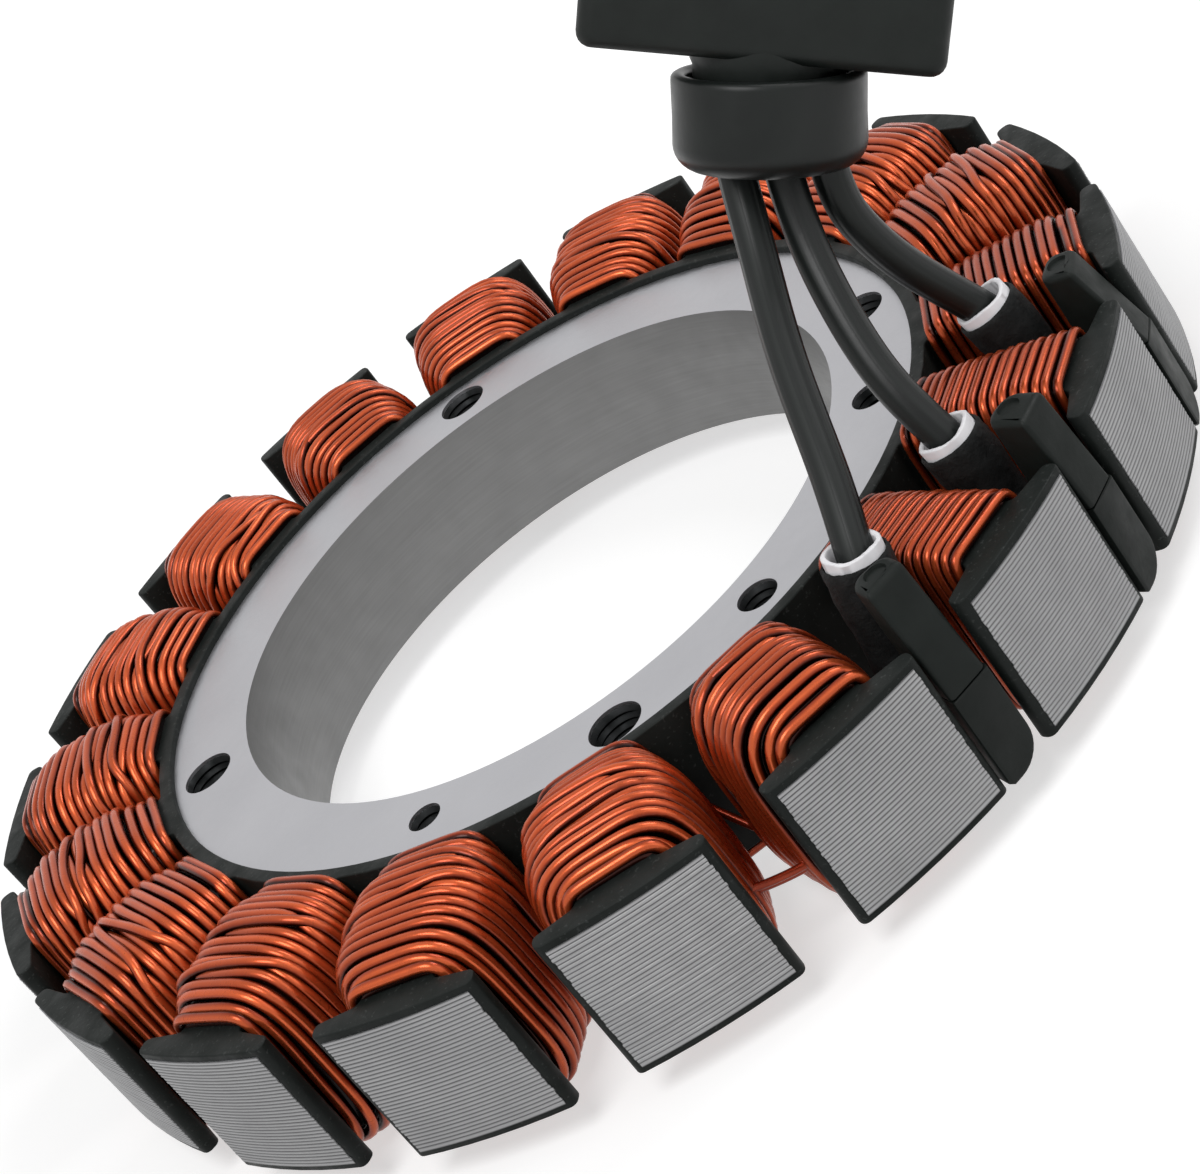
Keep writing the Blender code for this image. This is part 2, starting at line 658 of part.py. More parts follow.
def make_collar(rubber):
    """A turned cup with three bores through its floor."""
    plug = plug_matrix()
    foot = COLLAR_FOOT_ROUND
    lip = COLLAR_LIP_ROUND
    cavity = COLLAR_RADIUS - COLLAR_WALL
    profile = [(cavity, COLLAR_HEIGHT - lip), (cavity + lip, COLLAR_HEIGHT)]
    profile += [(COLLAR_RADIUS - lip, COLLAR_HEIGHT), (COLLAR_RADIUS, COLLAR_HEIGHT - lip)]
    profile += arc((COLLAR_RADIUS - foot, foot), foot, 0, -90, 3)
    profile += [(0.0, 0.0)]
    profile = [(0.0, COLLAR_FLOOR), (cavity, COLLAR_FLOOR)] + profile
    collar = turned("seal_collar", profile, steps=COLLAR_STEPS)
    collar.data.materials.append(rubber)
    collar.matrix_world = plug
    bore = LEAD_DIAMETER / 2 + LEAD_BORE_FIT
    mesh = cylinder_mesh("lead_bore", bore, -foot, COLLAR_FLOOR + foot, SMALL_HOLE_STEPS)
    for index in range(len(LEAD_ROUTES)):
        place = plug @ Matrix.Translation((lead_bore_x(index), 0.0, 0.0))
        add_boolean(collar, make_cutter(f"lead_bore_{index + 1}", mesh, place))


def body_matrix():
    """Frame at the middle of the plug body's underside, turned a little in its own plane."""
    rise = Matrix.Translation((BODY_SHIFT, 0.0, COLLAR_HEIGHT + NECK_SHOWING))
    return plug_matrix() @ rise @ Matrix.Rotation(math.radians(BODY_SKEW_DEGREES), 4, "Y")


def make_connector(moulding, brass):
    """The neck and flat body, moulded in one, with a socket that holds three round contacts."""
    place = body_matrix()
    body_data = box_mesh("connector_body", BODY_WIDTH, BODY_THICKNESS, 0.0, BODY_HEIGHT)
    body = add_object("connector_body", body_data, moulding, place)
    add_bevel(body, BODY_CORNER_ROUND, 3)
    neck_start = COLLAR_FLOOR + CLEARANCE
    neck_end = COLLAR_HEIGHT + NECK_SHOWING + BODY_HEIGHT - SOCKET_DEPTH - PIN_SEAT_DEPTH
    neck = cylinder_mesh("connector_neck", NECK_RADIUS, neck_start, neck_end, COLLAR_STEPS)
    add_boolean(body, make_cutter("connector_neck", neck, plug_matrix()), "UNION")
    socket_floor = BODY_HEIGHT - SOCKET_DEPTH
    socket = box_mesh(
        "connector_socket", BODY_WIDTH - 2 * SOCKET_WALL, BODY_THICKNESS - 2 * SOCKET_WALL,
        socket_floor, BODY_HEIGHT + SOCKET_WALL)
    add_boolean(body, make_cutter("connector_socket", socket, place))
    pin_foot = socket_floor - PIN_SEAT_DEPTH
    seat = cylinder_mesh(
        "pin_seat", PIN_RADIUS + CLEARANCE, pin_foot - CLEARANCE, BODY_HEIGHT, SMALL_HOLE_STEPS)
    for index in range(len(LEAD_ROUTES)):
        across = Matrix.Translation((PIN_SPACING * (1 - index), 0.0, 0.0))
        add_boolean(body, make_cutter(f"pin_seat_{index + 1}", seat, place @ across))
        tip = pin_foot + PIN_LENGTH
        pin = turned(
            f"contact_pin_{index + 1}",
            [(0.0, tip), (PIN_RADIUS - PIN_POINT, tip), (PIN_RADIUS, tip - PIN_POINT),
             (PIN_RADIUS, pin_foot), (0.0, pin_foot)],
            steps=SMALL_HOLE_STEPS)
        pin.data.materials.append(brass)
        pin.matrix_world = place @ across


def make_tails(copper):
    """Three strands that cross the slot between the first and second coils."""
    angle = tooth_angle(TAIL_SLOT_TOOTH) - PITCH / 2
    out = Vector((math.cos(angle), math.sin(angle), 0.0))
    across = Vector((-math.sin(angle), math.cos(angle), 0.0))
    strands = [(OUTER_RADIUS - TAIL_INSET, height) for height in TAIL_HEIGHTS]
    strands.append((YOKE_RADIUS + INNER_TAIL_DISTANCE, INNER_TAIL_HEIGHT))
    for index, (radius, height) in enumerate(strands):
        share = (radius * math.cos(PITCH / 2) - COIL_START) / (COIL_END - COIL_START)
        half_coil = TUNNEL_HALF_WIDTH + side_build(SIDE_BUILD_FULL, share)
        free = radius * math.sin(PITCH / 2) - half_coil
        reach = free / math.cos(PITCH / 2) - CLEARANCE
        centre = out * radius + Vector((0.0, 0.0, STACK_BASE + height))
        sag = Vector((0.0, 0.0, -WIRE_DIAMETER / 4))
        points = [centre - across * reach, centre + sag, centre + across * reach]
        tube(f"coil_tail_{index + 1}", points, WIRE_DIAMETER, copper)


def make_links(copper):
    """Each phase's link wire, an arc at its own level between the rear domes and the ring."""
    for index in range(PHASE_COUNT):
        depth = WIRE_DIAMETER / 2 + (WIRE_DIAMETER + LINK_GAP) * index
        level = STACK_BASE - COAT - LINK_SEAT_GAP - depth
        start = tooth_angle(index + 1)
        points = []
        for step in range(LINK_SPAN_TEETH + 1):
            x, y = polar(YOKE_RADIUS, start - PITCH * step)
            points.append((x, y, level))
        tube(f"phase_link_{index + 1}", points, WIRE_DIAMETER, copper)


def main():
    remove_everything()
    make_collections()
    steel = make_material("core_steel", (0.50, 0.50, 0.51), 0.34, 1.0)
    coat = make_material("coat_black", (0.022, 0.025, 0.024), 0.62, 0.0)
    copper = make_material("enamelled_copper", (0.56, 0.125, 0.045), 0.30, 0.6)
    moulding = make_material("moulding_black", (0.020, 0.023, 0.022), 0.50, 0.0)
    sleeve_black = make_material("sleeve_black", (0.010, 0.011, 0.011), 0.85, 0.0)
    sleeve_white = make_material("sleeve_white", (0.80, 0.79, 0.82), 0.60, 0.0)
    rubber = make_material("lead_rubber", (0.018, 0.021, 0.020), 0.42, 0.0)
    tin = make_material("tinned_metal", (0.60, 0.60, 0.58), 0.35, 1.0)
    brass = make_material("contact_brass", (0.72, 0.55, 0.28), 0.30, 1.0)
    make_stack(steel)
    make_coat(coat)
    make_coils(copper)
    make_wedges(moulding)
    make_sleeves(sleeve_black, sleeve_white, tin)
    make_leads(rubber)
    make_collar(rubber)
    make_connector(moulding, brass)
    make_tails(copper)
    make_links(copper)


main()
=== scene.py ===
"""Looks of the wound stator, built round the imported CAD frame. Metres, +Z up, origin under the bore."""
import math

import bmesh
import bpy
import numpy as np
from mathutils import Matrix, Vector


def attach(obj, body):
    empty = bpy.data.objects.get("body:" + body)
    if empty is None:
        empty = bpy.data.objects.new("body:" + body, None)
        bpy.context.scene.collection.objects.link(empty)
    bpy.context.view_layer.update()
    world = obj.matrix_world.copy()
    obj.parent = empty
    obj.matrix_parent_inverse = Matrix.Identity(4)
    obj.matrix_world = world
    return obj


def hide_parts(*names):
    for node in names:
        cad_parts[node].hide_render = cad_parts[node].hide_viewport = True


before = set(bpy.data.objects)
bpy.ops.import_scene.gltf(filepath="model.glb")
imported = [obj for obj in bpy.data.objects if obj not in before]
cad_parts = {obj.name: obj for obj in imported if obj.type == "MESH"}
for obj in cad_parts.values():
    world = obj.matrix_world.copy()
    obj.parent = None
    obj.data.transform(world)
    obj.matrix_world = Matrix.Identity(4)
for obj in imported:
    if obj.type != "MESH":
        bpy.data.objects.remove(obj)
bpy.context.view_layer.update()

# The stator's own sizes, repeated from the CAD source where it has them
TOOTH_COUNT = 18
PITCH = 2 * math.pi / TOOTH_COUNT
FIRST_TOOTH = math.radians(240)
OUTER_RADIUS = 0.0625
BORE_RADIUS = 0.0332
YOKE_RADIUS = 0.0425
STACK_BASE = 0.0040
STACK_TOP = 0.0179
TOOTH_WIDTH = 0.0060
SHOE_HALF_WIDTH = 0.00727
SHOE_DEPTH_MIDDLE = 0.0021
SHOE_DEPTH_END = 0.0015
SHEETS = 34
COAT = 0.0007
COAT_RIM_RADIUS = 0.0418
CLEARANCE = 0.0003
TUNNEL_HALF = TOOTH_WIDTH / 2 + COAT + CLEARANCE
TUNNEL_TOP = STACK_TOP + COAT + CLEARANCE
TUNNEL_BOTTOM = STACK_BASE - COAT - CLEARANCE
COIL_START = YOKE_RADIUS + COAT + CLEARANCE
COIL_END = OUTER_RADIUS - SHOE_DEPTH_MIDDLE - COAT - CLEARANCE
WIRE = 0.0010

# The camera, fitted to the tooth corners in the photograph
CAMERA_PLACE = (-0.16327183, -0.19752820, 0.13588747 + STACK_BASE)
CAMERA_RIGHT = (0.42742742, -0.72268485, -0.54316885)
CAMERA_DOWN = (-0.69717102, 0.11901081, -0.70695756)
CAMERA_FORWARD = (0.57555049, 0.68085463, -0.45296645)
CAMERA_LENS = 89.607
CAMERA_SENSOR = 36.0


# Helpers
def mesh_object(name, verts, faces, material, degrees=35):
    mesh = bpy.data.meshes.new(name)
    mesh.from_pydata([tuple(v) for v in verts], [], faces)
    return finish_mesh(name, mesh, material, degrees)


def wall(work, low, high):
    """Quads between two closed rows of vertices."""
    for k in range(len(low)):
        n = (k + 1) % len(low)
        work.faces.new((low[k], low[n], high[n], high[k]))


def fill(work, rings):
    """A flat face with holes, between closed rows of vertices."""
    edges = []
    for ring in rings:
        edges += [work.edges.get((vert, ring[(k + 1) % len(ring)])) for k, vert in enumerate(ring)]
    bmesh.ops.triangle_fill(work, edges=edges, use_beauty=True)


def work_object(name, work, material, degrees=35):
    mesh = bpy.data.meshes.new(name)
    work.to_mesh(mesh)
    work.free()
    return finish_mesh(name, mesh, material, degrees)


def finish_mesh(name, mesh, material, degrees=35):
    mesh.validate()
    work = bmesh.new()
    work.from_mesh(mesh)
    bmesh.ops.recalc_face_normals(work, faces=work.faces)
    work.to_mesh(mesh)
    work.free()
    mesh.shade_smooth()
    mesh.set_sharp_from_angle(angle=math.radians(degrees))
    mesh.materials.append(material)
    made = bpy.data.objects.new(name, mesh)
    bpy.context.scene.collection.objects.link(made)
    return made


def stands(piece, node=None, place=None):
    """Put the piece in place on the one body, and hide the CAD node it stands for."""
    if place:
        piece.matrix_world = place
    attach(piece, "root")
    if node:
        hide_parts(node)


def polar(radius, angle):
    return (radius * math.cos(angle), radius * math.sin(angle))


def tooth_angle(number):
    return FIRST_TOOTH - PITCH * (number - 1)


def tooth_matrix(number):
    return Matrix.Rotation(tooth_angle(number), 4, "Z")


def ease(share):
    share = min(max(share, 0.0), 1.0)
    return share * share * (3.0 - 2.0 * share)


def ring_faces(rows, count, closed_rows=False):
    """Quads between successive closed rows of count points."""
    faces = []
    for row in range(rows if closed_rows else rows - 1):
        here, above = row * count, ((row + 1) % rows) * count
        for k in range(count):
            n = (k + 1) % count
            faces.append((here + k, here + n, above + n, above + k))
    return faces


def sweep(points, radius, sides, closed=False, hint=Vector((0, 0, 1))):
    """Vertices and faces of a tube along points, with no twist."""
    points = [Vector(p) for p in points]
    count = len(points)
    verts = []
    normal = hint
    for i, p in enumerate(points):
        a = points[(i - 1) % count] if closed or i > 0 else p
        b = points[(i + 1) % count] if closed or i < count - 1 else p
        tangent = (b - a).normalized()
        normal = (normal - tangent * normal.dot(tangent)).normalized()
        side = tangent.cross(normal)
        for k in range(sides):
            turn = 2 * math.pi * k / sides
            verts.append(p + (normal * math.cos(turn) + side * math.sin(turn)) * radius)
    faces = ring_faces(count, sides, closed_rows=closed)
    if not closed:
        faces.append(tuple(range(sides)))
        faces.append(tuple(reversed(range((count - 1) * sides, count * sides))))
    return verts, faces


def lathe(profile, steps, closed=False):
    """Vertices and faces of a profile of (radius, height) turned about Z."""
    verts, faces, rows = [], [], []
    for radius, height in profile:
        if radius < 1e-7:
            rows.append([len(verts)] * steps)
            verts.append(Vector((0, 0, height)))
        else:
            rows.append(list(range(len(verts), len(verts) + steps)))
            for k in range(steps):
                x, y = polar(radius, 2 * math.pi * k / steps)
                verts.append(Vector((x, y, height)))
    count = len(rows) if closed else len(rows) - 1
    for index in range(count):
        low, high = rows[index], rows[(index + 1) % len(rows)]
        for k in range(steps):
            n = (k + 1) % steps
            corners = tuple(dict.fromkeys((low[k], low[n], high[n], high[k])))
            if len(corners) > 2:
                faces.append(corners)
    return verts, faces


def loft(outline_at, levels):
    """Rings of points, one per level, with a cap on the first and last."""
    rings = [outline_at(*level) for level in levels]
    count = len(rings[0])
    verts = [Vector(p) for ring in rings for p in ring]
    faces = ring_faces(len(rings), count)
    faces.append(tuple(range(count)))
    faces.append(tuple(reversed(range((len(rings) - 1) * count, len(rings) * count))))
    return verts, faces


def fillet(points, radius, steps=4, least_turn=20):
    """Round the corners of a closed outline."""
    rounded = []
    count = len(points)
    for i in range(count):
        a, p, b = (Vector(points[j % count]) for j in (i - 1, i, i + 1))
        u, v = (a - p), (b - p)
        turn = 180 - math.degrees(u.angle(v))
        if turn < least_turn:
            rounded.append(tuple(p))
            continue
        half = math.radians(180 - turn) / 2
        reach = min(radius / math.tan(half), 0.45 * u.length, 0.45 * v.length)
        real = reach * math.tan(half)
        u.normalize()
        v.normalize()
        start, end = p + u * reach, p + v * reach
        centre = p + (u + v).normalized() * (real / math.sin(half))
        first, last = start - centre, end - centre
        angle = math.atan2(first.x * last.y - first.y * last.x, first.dot(last))
        for step in range(steps + 1):
            turned = first.copy()
            turned.rotate(Matrix.Rotation(angle * step / steps, 2))
            rounded.append(tuple(centre + turned))
    return rounded


def plate(name, outlines, bottom, top, rounding, material):
    """Outlines drawn up from bottom to top, with rounded upper and lower edges."""
    curve = bpy.data.curves.new(name, "CURVE")
    curve.dimensions = "2D"
    curve.fill_mode = "BOTH"
    curve.extrude = (top - bottom) / 2 - rounding
    curve.bevel_depth = rounding
    curve.offset = -rounding
    curve.bevel_resolution = 3
    for outline in outlines:
        spline = curve.splines.new("POLY")
        spline.points.add(len(outline) - 1)
        spline.use_cyclic_u = True
        for point, (x, y) in zip(spline.points, outline):
            point.co = (x, y, 0, 1)
    carrier = bpy.data.objects.new(name, curve)
    bpy.context.scene.collection.objects.link(carrier)
    bpy.context.view_layer.update()
    graph = bpy.context.evaluated_depsgraph_get()
    mesh = bpy.data.meshes.new_from_object(carrier.evaluated_get(graph))
    mesh.transform(Matrix.Translation((0, 0, (bottom + top) / 2)))
    bpy.data.objects.remove(carrier)
    bpy.data.curves.remove(curve)
    work = bmesh.new()
    work.from_mesh(mesh)
    bmesh.ops.remove_doubles(work, verts=work.verts, dist=1e-6)
    work.to_mesh(mesh)
    work.free()
    mesh.materials.clear()
    return finish_mesh(name, mesh, material, 40)


def circle(radius, steps, centre=(0, 0)):
    around = (polar(radius, 2 * math.pi * k / steps) for k in range(steps))
    return [(centre[0] + x, centre[1] + y) for x, y in around]


def append_part(verts, faces, more_verts, more_faces):
    """Add one closed form to the lists of another."""
    offset = len(verts)
    verts += more_verts
    faces += [tuple(v + offset for v in face) for face in more_faces]


# Materials
class Shader:
    """A small helper that strings nodes together."""

    def __init__(self, name):
        self.material = bpy.data.materials.new(name)
        self.material.use_nodes = True
        self.tree = self.material.node_tree
        self.main = self.tree.nodes["Principled BSDF"]
        self.coords = self.tree.nodes.new("ShaderNodeTexCoord").outputs["Object"]

    def set(self, **values):
        names = {"roughness": "Roughness", "metallic": "Metallic", "coat": "Coat Weight",
                 "coat_roughness": "Coat Roughness", "specular": "Specular IOR Level"}
        for key, value in values.items():
            self.main.inputs[names[key]].default_value = value
        return self

    def node(self, kind, **settings):
        made = self.tree.nodes.new(kind)
        for key, value in settings.items():
            setattr(made, key, value)
        return made

    def link(self, source, target):
        self.tree.links.new(source, target)

    def noise(self, scale, detail=3, rough=0.5, stretch=None):
        made = self.node("ShaderNodeTexNoise")
        made.inputs["Scale"].default_value = scale
        made.inputs["Detail"].default_value = detail
        made.inputs["Roughness"].default_value = rough
        source = self.coords
        if stretch:
            mapping = self.node("ShaderNodeMapping")
            mapping.inputs["Scale"].default_value = stretch
            self.link(source, mapping.inputs["Vector"])
            source = mapping.outputs["Vector"]
        self.link(source, made.inputs["Vector"])
        return made.outputs["Fac"]

    def ramp(self, source, stops, target=None):
        made = self.node("ShaderNodeValToRGB")
        ramp = made.color_ramp
        while len(ramp.elements) < len(stops):
            ramp.elements.new(0.5)
        for element, (place, colour) in zip(ramp.elements, stops):
            element.position = place
            element.color = (*colour, 1)
        self.link(source, made.inputs["Fac"])
        if target:
            self.link(made.outputs["Color"], self.main.inputs[target])
        return made.outputs["Color"]

    def spread(self, source, low, high, target=None, start=0.3, end=0.7):
        made = self.node("ShaderNodeMapRange")
        for key, value in (("From Min", start), ("From Max", end), ("To Min", low), ("To Max", high)):
            made.inputs[key].default_value = value
        self.link(source, made.inputs["Value"])
        if target:
            self.link(made.outputs["Result"], self.main.inputs[target])
        return made.outputs["Result"]

    def mix(self, a, b, share, mode="MIX"):
        made = self.node("ShaderNodeMix", data_type="RGBA", blend_type=mode)
        for value, socket in ((share, made.inputs[0]), (a, made.inputs[6]), (b, made.inputs[7])):
            if isinstance(value, (int, float)):
                socket.default_value = value
            elif isinstance(value, tuple):
                socket.default_value = (*value, 1)
            else:
                self.link(value, socket)
        return made.outputs[2]

    def bump(self, layers):
        """Bumps stacked one on another, each (height source, strength, distance)."""
        normal = None
        for source, strength, distance in layers:
            made = self.node("ShaderNodeBump")
            made.inputs["Strength"].default_value = strength
            made.inputs["Distance"].default_value = distance
            self.link(source, made.inputs["Height"])
            if normal:
                self.link(normal, made.inputs["Normal"])
            normal = made.outputs["Normal"]
        self.link(normal, self.main.inputs["Normal"])
        return self


def bore_material():
    """Turned steel, with fine lines that run round the bore, its tone painted darker than the ring face as
    shade.
    """
    s = Shader("turned_steel_painted_shade").set(metallic=1.0)
    line = s.noise(420, 4, 0.6, stretch=(0.3, 0.3, 9))
    # Painted shade: the bore's steel tone is about half that of the ring face
    s.ramp(line, [(0.25, (0.200, 0.200, 0.198)), (0.75, (0.232, 0.232, 0.231))], "Base Color")
    s.spread(s.noise(300, 3), 0.38, 0.50, "Roughness")
    s.bump([(line, 0.15, 0.00002)])
    return s.material


def lamination_material():
    s = Shader("laminated_steel").set(metallic=1.0)
    tone = s.ramp(s.noise(150, 3), [(0.3, (0.30, 0.30, 0.305)), (0.7, (0.345, 0.345, 0.35))])
    split = s.node("ShaderNodeSeparateXYZ")
    s.link(s.coords, split.inputs[0])
    sheet = s.spread(split.outputs["Z"], 0.0, SHEETS, start=STACK_BASE, end=STACK_TOP)
    fraction = s.node("ShaderNodeMath", operation="PINGPONG")
    fraction.inputs[1].default_value = 0.5
    s.link(sheet, fraction.inputs[0])
    flat = s.spread(fraction.outputs[0], 0.0, 1.0, start=0.04, end=0.34)
    s.link(s.mix((0.115, 0.115, 0.116), tone, flat), s.main.inputs["Base Color"])
    s.spread(s.noise(700, 3), 0.46, 0.56, "Roughness")
    s.bump([(s.noise(1500, 3, stretch=(1, 1, 6)), 0.15, 0.00003)])
    return s.material


def coat_material():
    s = Shader("baked_coat").set(specular=0.14)
    cloud = s.noise(160, 4, 0.6)
    speck = s.noise(2400, 2, 0.6)
    tone = s.ramp(cloud, [(0.3, (0.006, 0.008, 0.007)), (0.7, (0.014, 0.0165, 0.0155))])
    light = s.ramp(speck, [(0.62, (0, 0, 0)), (0.72, (1, 1, 1))])
    s.link(s.mix(tone, (0.035, 0.039, 0.037), light), s.main.inputs["Base Color"])
    s.spread(s.noise(420, 3), 0.42, 0.66, "Roughness")
    s.bump([(s.noise(230, 3), 0.35, 0.0003), (s.noise(1500, 3, 0.6), 0.35, 0.00008)])
    return s.material


def copper_material(name, on_wires=True):
    s = Shader(name).set(metallic=0.62, coat=0.18, coat_roughness=0.10, specular=0.2)
    cloud = s.noise(260, 3, 0.6)
    if on_wires:
        # Painted highlight and painted shade: each wire is bright along its crest and dark on its sides and
        # in the gaps between wires
        crest_highlight_and_shade = s.node("ShaderNodeAttribute", attribute_name="crest_highlight_and_shade")
        rise = s.spread(crest_highlight_and_shade.outputs["Fac"], 0.0, 1.0, start=-0.1, end=1.0)
        tone = s.ramp(rise, [(0.0, (0.008, 0.0013, 0.001)), (0.36, (0.070, 0.010, 0.0038)),
                             (0.68, (0.38, 0.050, 0.0125)), (1.0, (0.71, 0.126, 0.035))])
        kind = s.node("ShaderNodeAttribute", attribute_name="tone")
        wire_tone = s.ramp(kind.outputs["Fac"], [(0.0, (0.74, 0.72, 0.72)), (1.0, (1.0, 1.0, 1.0))])
        tone = s.mix(tone, wire_tone, 1.0, "MULTIPLY")
        patches = s.ramp(cloud, [(0.25, (0.82, 0.80, 0.80)), (0.75, (1.0, 1.0, 1.0))])
        tone = s.mix(tone, patches, 1.0, "MULTIPLY")
    else:
        tone = s.ramp(cloud, [(0.25, (0.22, 0.026, 0.008)), (0.75, (0.36, 0.050, 0.015))])
    s.link(tone, s.main.inputs["Base Color"])
    s.spread(s.noise(900, 2), 0.22, 0.36, "Roughness")
    s.bump([(s.noise(1300, 2), 0.12, 0.00004)])
    return s.material


def plain_material(name, tones, tone_noise, roughness, rough_noise, bumps, ends=(0.3, 0.7), **values):
    """A material whose tone and roughness follow noise, over bumps of (noise, strength, distance)."""
    s = Shader(name).set(**values)
    s.ramp(s.noise(*tone_noise), list(zip(ends, tones)), "Base Color")
    s.spread(s.noise(*rough_noise), *roughness, "Roughness")
    s.bump([(s.noise(*noise), strength, distance) for noise, strength, distance in bumps])
    return s.material


def moulding_material(name, specular):
    tones = ((0.0065, 0.0085, 0.0075), (0.012, 0.0150, 0.0135))
    bumps = [((300, 3), 0.25, 0.0002), ((2200, 2), 0.25, 0.00005)]
    return plain_material(name, tones, (220, 4), (0.40, 0.58), (500, 3), bumps, specular=specular)


def metal_material(name, low, high, roughness=(0.25, 0.4)):
    bumps = [((2000, 2), 0.15, 0.00003)]
    return plain_material(name, (low, high), (600, 3), roughness, (900, 2), bumps, metallic=1.0)


def lead_material():
    """Extruded insulation, with faint lines along the lead."""
    s = Shader("lead_insulation").set(specular=0.26)
    streak = s.node("ShaderNodeAttribute", attribute_name="streak").outputs["Fac"]
    s.ramp(streak, [(0.2, (0.005, 0.0062, 0.006)), (0.8, (0.011, 0.0135, 0.0125))], "Base Color")
    s.spread(streak, 0.28, 0.50, "Roughness", 0.0, 1.0)
    s.bump([(streak, 0.6, 0.00008), (s.noise(1200, 3), 0.15, 0.00006)])
    return s.material


STEEL = plain_material("ground_steel", ((0.43, 0.43, 0.45), (0.475, 0.475, 0.495)), (90, 3),
                       (0.40, 0.48), (700, 4), [((2600, 2), 0.45, 0.00005), ((900, 3, 0.7), 0.25, 0.00004)],
                       (0.2, 0.8), metallic=1.0, specular=0.5)
BORE_PAINTED_SHADE = bore_material()
LAMINATED = lamination_material()
COATED = coat_material()
COPPER = copper_material("enamelled_wire")
STRAND = copper_material("enamelled_strand", False)
# Painted shade: the threads' steel is near black for the shade inside the holes
THREAD_PAINTED_SHADE = metal_material("thread_steel_painted_shade", (0.008, 0.009, 0.009), (0.026, 0.027, 0.028), (0.4, 0.6))
MOULDED = moulding_material("moulded_black", 0.15)
PLUG_BLACK = moulding_material("plug_black", 0.22)
SLEEVE = plain_material("varnished_sleeve", ((0.004, 0.0045, 0.0045), (0.014, 0.015, 0.015)), (600, 4),
                        (0.55, 0.85), (800, 3), [((900, 4, 0.7), 0.8, 0.0003)], specular=0.2)
WHITE = plain_material("white_sleeve", ((0.80, 0.79, 0.82), (0.92, 0.91, 0.93)), (500, 3),
                       (0.5, 0.5), (500, 3), [((1200, 2), 0.2, 0.0001)], specular=0.4)
RUBBER = lead_material()
SEAL = plain_material("seal_rubber", ((0.006, 0.0075, 0.007), (0.010, 0.0125, 0.0115)), (180, 3),
                      (0.30, 0.42), (400, 3), [((1200, 3), 0.15, 0.00006)], specular=0.25)
TIN = metal_material("tinned", (0.5, 0.5, 0.48), (0.66, 0.66, 0.64))
BRASS = metal_material("contact", (0.66, 0.48, 0.22), (0.78, 0.60, 0.32))


# The laminated core
BORE_STEPS = 144

# The ring's holes: distance from the middle, radius, steps round, and the degrees of each
MOUNT_HOLES = (0.0380, 0.00265, 40, (45, 135, 225, 315))
LOCATING_HOLES = (0.0375, 0.0020, 32, (-70, -110))
KEY_HOLE = (0.0371, 0.00165, 32, (195,))

SHEET_GROOVE, SHEET_FLAT_START = 0.00008, 0.24
SHEET_SLIDE, SHEET_PUSH = 0.000035, 0.00002
FACE_COLUMNS = 8


def core_outline(offset, rim, columns):
    """The core's outline from above, grown by offset, and which points are on a tooth's face."""
    half_tooth = TOOTH_WIDTH / 2 + offset
    half_shoe = SHOE_HALF_WIDTH + offset
    yoke = YOKE_RADIUS + offset
    side = [polar(yoke, math.asin(half_tooth / yoke)),
            (OUTER_RADIUS - SHOE_DEPTH_MIDDLE - offset, half_tooth),
            (OUTER_RADIUS - SHOE_DEPTH_END - offset, half_shoe)]
    face_turn = math.asin(half_shoe / rim)
    outline, is_face = [], []
    for number in range(TOOTH_COUNT, 0, -1):
        local = [(x, -y, False) for x, y in side]
        for step in range(columns + 1):
            x, y = polar(rim, face_turn * (2 * step / columns - 1))
            local.append((x, y, True))
        local += [(x, y, False) for x, y in reversed(side)]
        local.append((*polar(yoke, PITCH / 2), False))
        for x, y, face in local:
            outline.append(polar(math.hypot(x, y), math.atan2(y, x) + tooth_angle(number)))
            is_face.append(face)
    return outline, is_face


def hole_places():
    """Each hole's centre, radius and steps round."""
    places = []
    for away, radius, steps, degrees in (MOUNT_HOLES, LOCATING_HOLES, KEY_HOLE):
        places += [(polar(away, math.radians(d)), radius, steps) for d in degrees]
    return places


